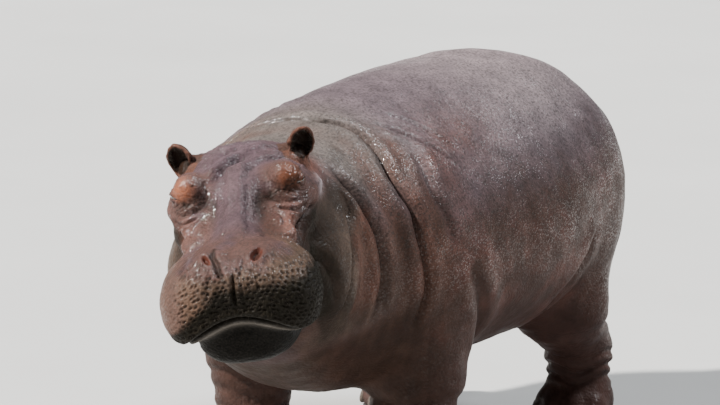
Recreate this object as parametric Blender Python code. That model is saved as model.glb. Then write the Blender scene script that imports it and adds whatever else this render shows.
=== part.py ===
"""A hippopotamus, standing, as a life-size still model.

The flesh is one blended form made from rounded masses, each named after the part of the body that it
is. It is meshed whole, then parted by thin cuts into the head, lower jaw, neck, trunk, legs and tail.
The ears, eyes and toenails are their own solids, seated in sockets cut for them.

Metres, +Z up. The animal faces -Y and its left side is +X. The origin is on the floor under the middle
of its bounding box.
"""

import math
from typing import NamedTuple

import bmesh
import bpy
import numpy as np
from mathutils import Euler, Matrix, Vector

# Driving dimensions.
WITHERS_HEIGHT = 1.29
BARREL_HALF_WIDTH = 0.585
HEAD_YAW, HEAD_PITCH, HEAD_ROLL = 25.6, 8.5, -8.8  # degrees: to its left, nose down, left side up
POLL = Vector((0.06, -1.06, 1.24))  # top of the head between the ears, the origin of the head's frame
MUZZLE_HALF_WIDTH = 0.25
LIP_MIDDLE = MUZZLE_HALF_WIDTH - 0.125  # how far each lobe of the upper lip lies to its side
STRIDE = 0.07  # how far each foot stands ahead of or behind its mean place
EYE_RADIUS = 0.027
EAR_RADII = Vector((0.044, 0.036, 0.054))
NAIL_RADII = Vector((0.023, 0.012, 0.027))
GAP = 0.0004  # clearance between neighbouring solids

# Where the flesh is parted.
NECK_FRONT = 0.13  # in the head's frame, how far behind the poll
NECK_SLOPE = -16  # degrees, so that the throat stays with the neck
NECK_BACK = -0.58
LEG_TOP = 0.352
TAIL_FRONT, TAIL_TOP = 1.268, 0.975
JAW_BACK = -0.31  # in the head's frame
MOUTH_HEIGHT, MOUTH_DROP = -0.252, 0.085  # in the head's frame: at the middle, and less at the lobes

# Meshing.
VOXEL = 0.018
HEAD_SHARE = 0.13  # of the triangles of the fine mesh, those kept on the head
FLESH_TRIANGLES = 3900
REACH = 3.0  # how far cutters run out past the body

SKIN = ((0.30, 0.22, 0.21, 1), 0.45)
EAR_SKIN = ((0.33, 0.20, 0.17, 1), 0.5)
EYE_GLOSS = ((0.05, 0.025, 0.012, 1), 0.1)
HORN = ((0.17, 0.13, 0.11, 1), 0.4)


class Mass(NamedTuple):
    """A rounded mass of flesh: a superellipsoid, and how widely it blends into the masses before it."""

    name: str
    at: tuple
    radii: tuple
    blend: float = 0.08
    turn: tuple = (0, 0, 0)
    power: float = 2.2
    paired: bool = False


class Limb(NamedTuple):
    """A round limb along a chain of joints, each an (x, y, z, radius), blending at its joints."""

    name: str
    joints: tuple
    blend: float = 0.06


TRUNK = (
    Mass("barrel", (0, 0.24, 0.82), (BARREL_HALF_WIDTH, 0.86, 0.45), power=2.1),
    Mass("chest", (0, -0.40, 0.82), (0.44, 0.48, 0.43), 0.25),
    Mass("withers", (0.01, -0.28, WITHERS_HEIGHT - 0.31), (0.22, 0.50, 0.29), 0.25, (6, 0, 0)),
    Mass("loin", (0, 0.46, 0.965), (0.34, 0.66, 0.34), 0.25),
    Mass("rump", (0, 0.80, 0.87), (0.41, 0.45, 0.40), 0.20),
    Mass("shoulder", (0.27, -0.37, 0.78), (0.21, 0.28, 0.36), 0.12, (8, 0, 0), paired=True),
    Mass("haunch", (0.25, 0.80, 0.76), (0.22, 0.34, 0.38), 0.12, (-10, 0, 0), paired=True),
)
NECK = (
    Mass("neck_base", (0.045, -0.70, 0.835), (0.32, 0.32, 0.39), 0.15),
    Mass("neck", (0.08, -0.90, 0.885), (0.27, 0.32, 0.345), 0.12, (0, 0, 14)),
)
TAIL_JOINTS = (
    (0, 1.13, 1.07, 0.085),
    (0, 1.30, 0.96, 0.05),
    (0, 1.345, 0.78, 0.036),
    (0, 1.35, 0.62, 0.026),
)
TAIL = (Limb("tail", TAIL_JOINTS),)

# In the head's frame: its origin is the poll, and its +Y, +X and +Z run back, left and up.
HEAD = (
    Mass("braincase", (0, -0.05, -0.12), (0.20, 0.22, 0.17), power=2.5),
    Mass("forehead", (0, -0.20, -0.10), (0.155, 0.18, 0.115), 0.06),
    Mass("snout", (0, -0.40, -0.235), (0.150, 0.30, 0.145), 0.05, power=2.6),
    Mass("bridge", (0, -0.42, -0.155), (0.10, 0.26, 0.095), 0.05, (6, 0, 0), 2.4),
    Mass("cheek", (0.105, -0.31, -0.20), (0.085, 0.22, 0.12), 0.05, (6, 0, 0), paired=True),
    Mass("muzzle", (0, -0.60, -0.20), (0.19, 0.155, 0.112), 0.06, power=2.6),
    Mass("lip_pad", (LIP_MIDDLE, -0.59, -0.238), (0.12, 0.165, 0.112), 0.05, power=2.4, paired=True),
    Mass("nostril_mound", (0.075, -0.60, -0.115), (0.052, 0.075, 0.04), 0.03, paired=True),
    Mass("cheekbone", (0.155, -0.16, -0.10), (0.075, 0.15, 0.07), 0.06, paired=True),
    Mass("orbit", (0.148, -0.20, -0.025), (0.056, 0.072, 0.066), 0.03, paired=True),
    Mass("jowl", (0.18, -0.04, -0.36), (0.105, 0.17, 0.17), 0.08, paired=True),
    Mass("throat", (0, -0.03, -0.36), (0.22, 0.28, 0.17), 0.08),
    Mass("ear_root", (0.165, 0.015, -0.015), (0.04, 0.05, 0.04), 0.04, paired=True),
)
JAW = (
    Mass("mandible", (0, -0.36, -0.365), (0.165, 0.34, 0.08), 0.02, (2, 0, 0), 2.6),
    Mass("chin", (0, -0.575, -0.325), (0.165, 0.135, 0.095), 0.03, power=2.4),
)


def clear_scene():
    for found in list(bpy.data.objects):
        bpy.data.objects.remove(found)


def rotation(turn):
    return Euler([math.radians(angle) for angle in turn]).to_matrix()


def head_frame():
    """Carries a point of the head's frame to its place on the body."""
    turn = Matrix.Rotation(math.radians(HEAD_YAW), 3, "Z") @ rotation((HEAD_PITCH, 0, 0))
    turn = turn @ Matrix.Rotation(math.radians(HEAD_ROLL), 3, "Y")
    return Matrix.Translation(POLL) @ turn.to_4x4()


def mirrored(mass):
    x, y, z = mass.at
    tip, roll, yaw = mass.turn
    return mass._replace(at=(-x, y, z), turn=(tip, -roll, -yaw))


def both_sides(masses):
    return [side for mass in masses for side in ((mass, mirrored(mass)) if mass.paired else (mass,))]


def toe_reaches(foot_radius):
    """Where the four toes lie round the front of a foot, from its middle."""
    spread = [math.radians(angle) for angle in (-62, -21, 21, 62)]
    return [Vector((math.sin(a), -math.cos(a), 0)) * foot_radius * 0.82 for a in spread]


# The joints of each pair of legs, from the hip down, and the foot: (x, y, radius).
JOINTS = {
    "fore": ((0.315, -0.37, 0.68, 0.18), (0.33, -0.35, 0.44, 0.15), (0.325, -0.39, 0.20, 0.115)),
    "hind": ((0.285, 0.76, 0.70, 0.21), (0.325, 0.71, 0.47, 0.16), (0.315, 0.87, 0.25, 0.107)),
}
FOOT = {"fore": (0.325, -0.42, 0.135), "hind": (0.315, 0.84, 0.126)}
# Which pair each leg belongs to, its side, and which way it steps.
LEGS = {
    "foreleg_left": ("fore", 1, -1),
    "foreleg_right": ("fore", -1, 1),
    "hindleg_left": ("hind", 1, 1),
    "hindleg_right": ("hind", -1, -1),
}
STEP_SHARES = (0.0, 0.5, 0.9)  # how much of a foot's step its hip, knee and ankle share


def foot_place(name):
    """The middle of the foot's sole, and its radius."""
    pair, side, step = LEGS[name]
    x, y, radius = FOOT[pair]
    return Vector((side * x, y + step * STRIDE, 0)), radius


def leg_masses(name):
    pair, side, step = LEGS[name]
    joints = [
        (side * x, y + step * STRIDE * share, z, radius)
        for (x, y, z, radius), share in zip(JOINTS[pair], STEP_SHARES)
    ]
    foot, radius = foot_place(name)
    sole = (foot.x, foot.y + 0.02, 0.10, radius * 0.9)
    pad = Mass(name + "_pad", (foot.x, foot.y, 0.045), (radius, radius * 1.08, 0.085), 0.05, power=2.3)
    toes = [
        Mass(name + "_toe", (foot.x + reach.x, foot.y + reach.y, 0.04), (0.042, 0.05, 0.06), 0.025)
        for reach in toe_reaches(radius)
    ]
    return [Limb(name, (*joints, sole)), pad, *toes]


def mass_distance(mass, points):
    """Roughly the distance outside the mass, and exactly 0 on its surface."""
    turned = (points - np.array(mass.at)) @ np.array(rotation(mass.turn))
    share = np.abs(turned) / np.array(mass.radii) + 1e-9
    size = (share**mass.power).sum(1) ** (1 / mass.power)
    slope = share ** (mass.power - 1) / np.array(mass.radii) * (size ** (1 - mass.power))[:, None]
    return (size - 1) / np.linalg.norm(slope, axis=1)


def limb_distance(limb, points):
    found = None
    for start, end in zip(limb.joints, limb.joints[1:]):
        a, b = np.array(start[:3]), np.array(end[:3])
        along = np.clip((points - a) @ (b - a) / ((b - a) @ (b - a)), 0, 1)
        radius = start[3] + along * (end[3] - start[3])
        reach = np.linalg.norm(points - a - along[:, None] * (b - a), axis=1) - radius
        found = reach if found is None else blended(found, reach, limb.blend)
    return found


def distance(shape, points):
    return (limb_distance if isinstance(shape, Limb) else mass_distance)(shape, points)


def blended(first, second, width):
    """The nearer of two distances, rounded where they are within width of each other."""
    overlap = np.maximum(width - np.abs(first - second), 0) / width
    return np.minimum(first, second) - overlap * overlap * width / 4


def body_shapes():
    """Every mass and limb outside the head, in the order in which they blend."""
    legs = [shape for name in LEGS for shape in leg_masses(name)]
    return [*both_sides(TRUNK), *legs, *NECK, *TAIL]


def flesh(points):
    """Distance outside the skin, near it: 0 on the skin, and negative inside."""
    found = None
    for shape in body_shapes():
        reach = distance(shape, points)
        found = reach if found is None else blended(found, reach, shape.blend)
    inverse = np.array(head_frame().inverted())
    in_head = points @ inverse[:3, :3].T + inverse[:3, 3]
    head = None
    for mass in both_sides((*HEAD, *JAW)):
        reach = mass_distance(mass, in_head)
        head = reach if head is None else blended(head, reach, mass.blend)
    return blended(found, head, 0.07)


def settled(points, rounds=5, step=0.002):
    """The points moved along the slope of flesh() until they lie on the skin."""
    for _ in range(rounds):
        here = flesh(points)
        rises = [flesh(points + step * axis) - flesh(points - step * axis) for axis in np.eye(3)]
        slope = np.stack(rises, 1) / (2 * step)
        points = points - slope * (here / np.maximum((slope * slope).sum(1), 0.2))[:, None]
    return points


def coordinates(mesh):
    found = np.empty(len(mesh.vertices) * 3)
    mesh.vertices.foreach_get("co", found)
    return found.reshape(-1, 3)


def new_object(name, bm):
    bmesh.ops.triangulate(bm, faces=bm.faces)
    mesh = bpy.data.meshes.new(name)
    bm.to_mesh(mesh)
    bm.free()
    made = bpy.data.objects.new(name, mesh)
    bpy.context.collection.objects.link(made)
    return made


def evaluated(obj):
    """The object with its modifiers applied."""
    graph = bpy.context.evaluated_depsgraph_get()
    mesh = bpy.data.meshes.new_from_object(obj.evaluated_get(graph))
    obj.modifiers.clear()
    obj.data = mesh
    return obj


def modified(obj, kind, **settings):
    modifier = obj.modifiers.new(kind.lower(), kind)
    for setting, value in settings.items():
        setattr(modifier, setting, value)
    return evaluated(obj)


def add_ball(bm, matrix):
    bmesh.ops.create_icosphere(bm, subdivisions=3, radius=1, matrix=matrix)


def add_shape(bm, shape, frame):
    """Rough balls that fill a mass or a limb, for the remesh to join."""
    if isinstance(shape, Limb):
        for start, end in zip(shape.joints, shape.joints[1:]):
            for share in np.linspace(0, 1, 7):
                x, y, z, radius = np.array(start) * (1 - share) + np.array(end) * share
                add_ball(bm, frame @ Matrix.Translation((x, y, z)) @ Matrix.Scale(radius, 4))
        return
    scale = Matrix.Diagonal((*shape.radii, 1))
    add_ball(bm, frame @ Matrix.Translation(shape.at) @ rotation(shape.turn).to_4x4() @ scale)


def whole_body():
    """The flesh as one closed mesh, with its feet cut flat on the floor."""
    bm = bmesh.new()
    for shape in body_shapes():
        add_shape(bm, shape, Matrix())
    for mass in both_sides((*HEAD, *JAW)):
        add_shape(bm, mass, head_frame())
    body = new_object("flesh", bm)
    modified(body, "REMESH", mode="VOXEL", voxel_size=VOXEL, use_smooth_shade=True)
    for _ in range(2):
        points = settled(coordinates(body.data))
        body.data.vertices.foreach_set("co", points.ravel())
        modified(body, "SMOOTH", factor=0.4, iterations=2)
    body.data.vertices.foreach_set("co", settled(coordinates(body.data)).ravel())
    return thinned(body)


def thinned(body):
    """Fewer triangles: evenly at first, until the head is right, and then on the rest of the body."""
    modified(body, "DECIMATE", ratio=HEAD_SHARE)
    place = head_frame().inverted()
    detail = body.vertex_groups.new(name="detail")
    for vertex in body.data.vertices:
        point = place @ vertex.co
        detail.add([vertex.index], float(point.y < 0.05 and point.z > -0.60), "REPLACE")
    ratio = FLESH_TRIANGLES / len(body.data.polygons)
    settings = dict(vertex_group="detail", vertex_group_factor=1, invert_vertex_group=True)
    return modified(body, "DECIMATE", ratio=ratio, **settings)


def box(low, high, frame=None):
    """A cutter that grows by a given amount on every side."""

    def grown(amount):
        bm = bmesh.new()
        bmesh.ops.create_cube(bm, size=1)
        size = Vector(high) - Vector(low) + Vector((2, 2, 2)) * amount
        middle = (Vector(high) + Vector(low)) / 2
        bm.transform((frame or Matrix()) @ Matrix.Translation(middle) @ Matrix.Diagonal((*size, 1)))
        return new_object("cutter", bm)

    return grown


def mouth_height(x):
    """Height of the line of the mouth in the head's frame: it arches between the two lobes."""
    return MOUTH_HEIGHT - MOUTH_DROP * min(abs(x) / 0.18, 1.0) ** 2


def under_mouth(amount):
    """A cutter for everything under the line of the mouth and ahead of the corner of the jaw."""
    bm = bmesh.new()
    bmesh.ops.create_grid(bm, x_segments=20, y_segments=1, size=1)
    for vertex in bm.verts:
        x, y, _ = vertex.co
        back = JAW_BACK + amount if y > 0 else -REACH
        vertex.co = Vector((0.4 * x, back, mouth_height(0.4 * x) + amount))
    walls = bmesh.ops.extrude_face_region(bm, geom=bm.faces[:])
    for found in walls["geom"]:
        if isinstance(found, bmesh.types.BMVert):
            found.co.z = -0.8
            found.co.y += 0.10 if found.co.y > -1 else 0.0
    bmesh.ops.recalc_face_normals(bm, faces=bm.faces)
    bm.transform(head_frame())
    return new_object("cutter", bm)


def combined(obj, operation, cutter):
    modified(obj, "BOOLEAN", operation=operation, solver="EXACT", object=cutter)
    bpy.data.objects.remove(cutter)
    return obj


def copied(obj, name):
    made = obj.copy()
    made.name = name
    made.data = obj.data.copy()
    bpy.context.collection.objects.link(made)
    return made


def parted(source, name, cutter):
    """Takes the flesh inside the cutter off as a new object, and leaves a thin gap behind it."""
    piece = combined(copied(source, name), "INTERSECT", cutter(0.0))
    combined(source, "DIFFERENCE", cutter(GAP))
    return piece


def parted_flesh(body):
    """The flesh as named nodes."""
    combined(body, "DIFFERENCE", box((-REACH, -REACH, -1), (REACH, REACH, 0))(0.0))
    slope = head_frame() @ Matrix.Rotation(math.radians(NECK_SLOPE), 4, "X")
    nodes = {"head": parted(body, "head", box((-1, -REACH, -REACH), (1, NECK_FRONT, 1), slope))}
    nodes["lower_jaw"] = parted(nodes["head"], "lower_jaw", under_mouth)
    nodes["neck"] = parted(body, "neck", box((-1, -REACH, LEG_TOP), (1, NECK_BACK, REACH)))
    nodes["tail"] = parted(body, "tail", box((-0.2, TAIL_FRONT, 0.3), (0.2, REACH, TAIL_TOP)))
    for name, (pair, side, _) in LEGS.items():
        across = (0.0, 1.0) if side > 0 else (-1.0, 0.0)
        along = (-1.0, 0.2) if pair == "fore" else (0.2, 1.5)
        low, high = zip(across, along, (-0.5, LEG_TOP))
        nodes[name] = parted(body, name, box(low, high))
    body.name = "trunk"
    nodes["trunk"] = body
    return nodes


def seated(host, guest):
    """Cuts a socket in the host for the guest, with the clearance all round it."""
    socket = copied(guest, "socket")
    modified(socket, "DISPLACE", strength=GAP, mid_level=0.0)
    return combined(host, "DIFFERENCE", socket)


def ear(name, side):
    """A round cup on a short stem, open to the front and outwards."""
    bm = bmesh.new()
    bmesh.ops.create_uvsphere(bm, u_segments=14, v_segments=8, radius=1)
    for vertex in bm.verts:
        x, y, z = vertex.co
        stem = max(-z - 0.35, 0.0)
        hollow = -0.45 + 0.9 * stem if y < 0 else 1.0
        vertex.co = Vector((x * (1 - 0.45 * stem), y * hollow, z - 0.55 * stem))
    bmesh.ops.recalc_face_normals(bm, faces=bm.faces)
    place = head_frame() @ Matrix.Translation((side * 0.194, -0.012, 0.028))
    turn = rotation((-4, side * 22, side * 24)).to_4x4()
    bm.transform(place @ turn @ Matrix.Diagonal((*EAR_RADII, 1)))
    return new_object(name, bm)


def eye(name, side):
    bm = bmesh.new()
    bmesh.ops.create_uvsphere(bm, u_segments=14, v_segments=8, radius=EYE_RADIUS)
    bm.transform(head_frame() @ Matrix.Translation((side * 0.181, -0.226, -0.018)))
    return new_object(name, bm)


def nail(name, foot, reach):
    """A blunt hoof-like nail on the front of one toe."""
    bm = bmesh.new()
    bmesh.ops.create_uvsphere(bm, u_segments=8, v_segments=4, radius=1)
    outwards = reach.normalized()
    turn = Matrix.Rotation(math.atan2(outwards.x, -outwards.y), 4, "Z")
    place = Matrix.Translation(foot + reach + outwards * 0.043 + Vector((0, 0, 0.034)))
    lean = rotation((-14, 0, 0)).to_4x4()
    bm.transform(place @ turn @ lean @ Matrix.Diagonal((*NAIL_RADII, 1)))
    return new_object(name, bm)


def coloured(obj, colour, roughness):
    material = bpy.data.materials.new(obj.name)
    material.use_nodes = True
    shader = material.node_tree.nodes["Principled BSDF"]
    shader.inputs["Base Color"].default_value = colour
    shader.inputs["Roughness"].default_value = roughness
    shader.inputs["Metallic"].default_value = 0.0
    obj.data.materials.clear()
    obj.data.materials.append(material)


def centred(nodes):
    """Moves the model so that its bounding box stands over the origin."""
    corners = np.concatenate([coordinates(node.data) for node in nodes])
    middle = (corners.min(0) + corners.max(0)) / 2
    for node in nodes:
        node.location = (-middle[0], -middle[1], 0)


def main():
    clear_scene()
    nodes = parted_flesh(whole_body())
    finishes = dict.fromkeys(nodes, SKIN)
    for side, hand in ((1, "left"), (-1, "right")):
        for kind, make, finish in (("ear", ear, EAR_SKIN), ("eye", eye, EYE_GLOSS)):
            name = f"{kind}_{hand}"
            nodes[name] = make(name, side)
            finishes[name] = finish
            seated(nodes["head"], nodes[name])
    for leg_name in LEGS:
        foot, radius = foot_place(leg_name)
        for number, reach in enumerate(toe_reaches(radius), 1):
            name = f"{leg_name}_nail_{number}"
            nodes[name] = nail(name, foot, reach)
            finishes[name] = HORN
            seated(nodes[leg_name], nodes[name])
    for name, node in nodes.items():
        coloured(node, *finishes[name])
    centred(nodes.values())


if __name__ == "__main__":
    main()
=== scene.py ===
"""A hippopotamus as a life-size museum model: its wet skin, eyes, toenails and bristles, in a studio.

Metres, +Z up. The animal faces -Y and its left side is +X. The skin is one surface grown from the same
rounded masses as the CAD's flesh, and then sculpted: lids, nostrils, mouth, folds and pores. The tables of
folds, swells and spots are in millimetres.
"""

import math
from typing import NamedTuple

import bmesh
import bpy
import numpy as np
from mathutils import Euler, Matrix, Vector, noise


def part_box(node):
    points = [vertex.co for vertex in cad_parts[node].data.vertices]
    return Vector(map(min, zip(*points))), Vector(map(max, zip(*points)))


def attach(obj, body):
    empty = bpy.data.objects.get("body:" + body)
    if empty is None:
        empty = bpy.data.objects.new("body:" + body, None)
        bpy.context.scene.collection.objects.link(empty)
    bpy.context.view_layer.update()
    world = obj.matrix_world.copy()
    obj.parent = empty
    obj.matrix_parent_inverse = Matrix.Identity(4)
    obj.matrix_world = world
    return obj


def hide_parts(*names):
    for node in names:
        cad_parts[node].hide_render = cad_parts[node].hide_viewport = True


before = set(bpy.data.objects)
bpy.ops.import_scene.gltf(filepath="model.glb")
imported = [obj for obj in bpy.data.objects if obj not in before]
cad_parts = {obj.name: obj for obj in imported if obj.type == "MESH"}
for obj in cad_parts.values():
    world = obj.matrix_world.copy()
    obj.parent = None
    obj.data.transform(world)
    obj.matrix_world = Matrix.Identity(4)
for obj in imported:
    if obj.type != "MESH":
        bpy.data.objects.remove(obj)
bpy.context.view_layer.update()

# ---------------------------------------------------------------- the flesh, as the CAD has it

WITHERS_HEIGHT = 1.29
BARREL_HALF_WIDTH = 0.585
HEAD_YAW, HEAD_PITCH, HEAD_ROLL = 25.6, 8.5, -8.8  # degrees: to its left, nose down, left side up
POLL = Vector((0.06, -1.06, 1.24))  # top of the head between the ears, the origin of the head's frame
MUZZLE_HALF_WIDTH = 0.25
LIP_MIDDLE = MUZZLE_HALF_WIDTH - 0.125
STRIDE = 0.07
EYE_RADIUS = 0.027
EYE_PLACE = (0.181, -0.226, -0.018)  # of the left eye, in the head's frame
EAR_RADII = Vector((0.044, 0.036, 0.054))
EAR_PLACE = (0.194, -0.012, 0.028)
NAIL_RADII = Vector((0.023, 0.012, 0.027))
MOUTH_HEIGHT, MOUTH_DROP = -0.252, 0.085
FLESH_NODES = ("head", "lower_jaw", "neck", "trunk", "tail", "ear_left", "ear_right")
SIDES = ((1, "left"), (-1, "right"))


class Mass(NamedTuple):
    """A rounded mass of flesh: a superellipsoid, and how widely it blends into the masses before it."""

    name: str
    at: tuple
    radii: tuple
    blend: float = 0.08
    turn: tuple = (0, 0, 0)
    power: float = 2.2
    paired: bool = False


class Limb(NamedTuple):
    """A round limb along a chain of joints, each an (x, y, z, radius), blending at its joints."""

    name: str
    joints: tuple
    blend: float = 0.06


TRUNK = (
    Mass("barrel", (0, 0.24, 0.82), (BARREL_HALF_WIDTH, 0.86, 0.45), power=2.1),
    Mass("chest", (0, -0.40, 0.82), (0.44, 0.48, 0.43), 0.25),
    Mass("withers", (0.01, -0.28, WITHERS_HEIGHT - 0.31), (0.22, 0.50, 0.29), 0.25, (6, 0, 0)),
    Mass("loin", (0, 0.46, 0.965), (0.34, 0.66, 0.34), 0.25),
    Mass("rump", (0, 0.80, 0.87), (0.41, 0.45, 0.40), 0.20),
    Mass("shoulder", (0.27, -0.37, 0.78), (0.21, 0.28, 0.36), 0.12, (8, 0, 0), paired=True),
    Mass("haunch", (0.25, 0.80, 0.76), (0.22, 0.34, 0.38), 0.12, (-10, 0, 0), paired=True),
)
NECK = (
    Mass("neck_base", (0.045, -0.70, 0.835), (0.32, 0.32, 0.39), 0.15),
    Mass("neck", (0.08, -0.90, 0.885), (0.27, 0.32, 0.345), 0.12, (0, 0, 14)),
)
TAIL_JOINTS = ((0, 1.13, 1.07, 0.085), (0, 1.3, 0.96, 0.05), (0, 1.345, 0.78, 0.036), (0, 1.35, 0.62, 0.026))
TAIL = (Limb("tail", TAIL_JOINTS),)
HEAD = (
    Mass("braincase", (0, -0.05, -0.12), (0.20, 0.22, 0.17), power=2.5),
    Mass("forehead", (0, -0.20, -0.10), (0.155, 0.18, 0.115), 0.06),
    Mass("snout", (0, -0.40, -0.235), (0.150, 0.30, 0.145), 0.05, power=2.6),
    Mass("bridge", (0, -0.42, -0.155), (0.10, 0.26, 0.095), 0.05, (6, 0, 0), 2.4),
    Mass("cheek", (0.105, -0.31, -0.20), (0.085, 0.22, 0.12), 0.05, (6, 0, 0), paired=True),
    Mass("muzzle", (0, -0.60, -0.20), (0.19, 0.155, 0.112), 0.06, power=2.6),
    Mass("lip_pad", (LIP_MIDDLE, -0.59, -0.238), (0.12, 0.165, 0.112), 0.05, power=2.4, paired=True),
    Mass("nostril_mound", (0.075, -0.60, -0.115), (0.052, 0.075, 0.04), 0.03, paired=True),
    Mass("cheekbone", (0.155, -0.16, -0.10), (0.075, 0.15, 0.07), 0.06, paired=True),
    Mass("orbit", (0.148, -0.20, -0.025), (0.056, 0.072, 0.066), 0.03, paired=True),
    Mass("jowl", (0.18, -0.04, -0.36), (0.105, 0.17, 0.17), 0.08, paired=True),
    Mass("throat", (0, -0.03, -0.36), (0.22, 0.28, 0.17), 0.08),
    Mass("ear_root", (0.165, 0.015, -0.015), (0.04, 0.05, 0.04), 0.04, paired=True),
)
JAW = (
    Mass("mandible", (0, -0.36, -0.365), (0.165, 0.34, 0.08), 0.02, (2, 0, 0), 2.6),
    Mass("chin", (0, -0.575, -0.325), (0.165, 0.135, 0.095), 0.03, power=2.4),
)
# The skin alone has these, a few millimetres proud of the CAD's flesh.
BULBS = (Mass("eye_bulb", (0.149, -0.229, -0.008), (0.049, 0.050, 0.054), 0.012, power=2.0, paired=True),)
# The joints of each pair of legs, from the hip down, and the foot: (x, y, radius).
JOINTS = {
    "fore": ((0.315, -0.37, 0.68, 0.18), (0.33, -0.35, 0.44, 0.15), (0.325, -0.39, 0.20, 0.115)),
    "hind": ((0.285, 0.76, 0.70, 0.21), (0.325, 0.71, 0.47, 0.16), (0.315, 0.87, 0.25, 0.107)),
}
FOOT = {"fore": (0.325, -0.42, 0.135), "hind": (0.315, 0.84, 0.126)}
# Which pair each leg belongs to, its side, and which way it steps.
LEGS = {
    "foreleg_left": ("fore", 1, -1),
    "foreleg_right": ("fore", -1, 1),
    "hindleg_left": ("hind", 1, 1),
    "hindleg_right": ("hind", -1, -1),
}
STEP_SHARES = (0.0, 0.5, 0.9)  # how much of a foot's step its hip, knee and ankle share
FELT = 0.30  # further out than this from a shape, it doesn't count


def rotation(turn):
    return Euler([math.radians(angle) for angle in turn]).to_matrix()


def head_frame():
    """Carries a point of the head's frame to its place on the body."""
    turn = Matrix.Rotation(math.radians(HEAD_YAW), 3, "Z") @ rotation((HEAD_PITCH, 0, 0))
    turn = turn @ Matrix.Rotation(math.radians(HEAD_ROLL), 3, "Y")
    return Matrix.Translation(POLL) @ turn.to_4x4()


def body_shift():
    """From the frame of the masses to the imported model's: what moves the left eye to its CAD node."""
    low, high = (Vector(corner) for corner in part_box("eye_left"))
    return (low + high) / 2 - head_frame() @ Vector(EYE_PLACE)


SHIFT = body_shift()
HEAD_FRAME = Matrix.Translation(SHIFT) @ head_frame()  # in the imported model
HEAD_TURN = np.array(HEAD_FRAME.to_3x3())


def on_side(side, place):
    """The left side's place, or its mirror image on the right."""
    x, y, z = place
    return (side * x, y, z)


def both_sides(masses):
    found = []
    for mass in masses:
        found.append(mass)
        if mass.paired:
            tip, roll, yaw = mass.turn
            found.append(mass._replace(at=on_side(-1, mass.at), turn=(tip, -roll, -yaw)))
    return found


def toe_reaches(foot_radius):
    """Where the four toes lie round the front of a foot, from its middle."""
    spread = [math.radians(angle) for angle in (-62, -21, 21, 62)]
    return [Vector((math.sin(a), -math.cos(a), 0)) * foot_radius * 0.82 for a in spread]


def foot_place(name):
    """The middle of the foot's sole, and its radius."""
    pair, side, step = LEGS[name]
    x, y, radius = FOOT[pair]
    return Vector((side * x, y + step * STRIDE, 0)), radius


def leg_masses(name):
    pair, side, step = LEGS[name]
    joints = [
        (side * x, y + step * STRIDE * share, z, radius)
        for (x, y, z, radius), share in zip(JOINTS[pair], STEP_SHARES)
    ]
    foot, radius = foot_place(name)
    sole = (foot.x, foot.y + 0.02, 0.10, radius * 0.9)
    pad = Mass(name + "_pad", (foot.x, foot.y, 0.045), (radius, radius * 1.08, 0.085), 0.05, power=2.3)
    toes = [
        Mass(name + "_toe", (foot.x + reach.x, foot.y + reach.y, 0.04), (0.042, 0.05, 0.06), 0.025)
        for reach in toe_reaches(radius)
    ]
    return [Limb(name, (*joints, sole)), pad, *toes]


def mass_distance(mass, points):
    """Roughly the distance outside the mass, and exactly 0 on its surface."""
    turned = (points - np.array(mass.at)) @ np.array(rotation(mass.turn))
    share = np.abs(turned) / np.array(mass.radii) + 1e-9
    size = (share**mass.power).sum(1) ** (1 / mass.power)
    slope = share ** (mass.power - 1) / np.array(mass.radii) * (size ** (1 - mass.power))[:, None]
    return (size - 1) / np.linalg.norm(slope, axis=1)


def limb_distance(limb, points):
    found = None
    for start, end in zip(limb.joints, limb.joints[1:]):
        a, b = np.array(start[:3]), np.array(end[:3])
        along = np.clip((points - a) @ (b - a) / ((b - a) @ (b - a)), 0, 1)
        radius = start[3] + along * (end[3] - start[3])
        reach = np.linalg.norm(points - a - along[:, None] * (b - a), axis=1) - radius
        found = reach if found is None else blended(found, reach, limb.blend)
    return found


def distance(shape, points):
    return (limb_distance if isinstance(shape, Limb) else mass_distance)(shape, points)


def blended(first, second, width):
    """The nearer of two distances, rounded where they are within width of each other."""
    overlap = np.maximum(width - np.abs(first - second), 0) / width
    return np.minimum(first, second) - overlap * overlap * width / 4


def extent(shape):
    """The middle of a shape, and how far from it the shape can be felt."""
    if isinstance(shape, Limb):
        joints = np.array(shape.joints)
        middle = joints[:, :3].mean(0)
        return middle, np.linalg.norm(joints[:, :3] - middle, axis=1).max() + joints[:, 3].max() + FELT
    return np.array(shape.at), max(shape.radii) * 1.15 + FELT


def union(shapes, points):
    """Distance outside the blended shapes, exact near their skin."""
    found = distance(shapes[0], points)
    for shape in shapes[1:]:
        middle, reach = extent(shape)
        close = np.flatnonzero(((points - middle) ** 2).sum(1) < reach * reach)
        if len(close):
            found[close] = blended(found[close], distance(shape, points[close]), shape.blend)
    return found


BODY_SHAPES = [*both_sides(TRUNK), *(mass for name in LEGS for mass in leg_masses(name)), *NECK, *TAIL]
HEAD_SHAPES = both_sides((*HEAD, *JAW, *BULBS))


def into(matrix, points):
    """The points carried by a matrix."""
    rows = np.array(matrix)
    return points @ rows[:3, :3].T + rows[:3, 3]


def in_head(points):
    return into(HEAD_FRAME.inverted(), points)


def flesh(points):
    """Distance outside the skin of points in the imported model."""
    body = union(BODY_SHAPES, points - np.array(SHIFT))
    middle, reach = np.array(HEAD_FRAME @ Vector((0, -0.3, -0.2))), 0.9
    close = np.flatnonzero(((points - middle) ** 2).sum(1) < reach**2)
    if len(close):
        body[close] = blended(body[close], union(HEAD_SHAPES, in_head(points[close])), 0.07)
    return body


# ---------------------------------------------------------------- meshes


def read(layer, field, width=3, kind=float):
    """One field of every item of a mesh's layer, a row for each item."""
    found = np.empty(len(layer) * width, kind)
    layer.foreach_get(field, found)
    return found.reshape(-1, width) if width > 1 else found


def coordinates(mesh):
    return read(mesh.vertices, "co")


def normals(mesh):
    return read(mesh.vertex_normals, "vector")


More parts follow.
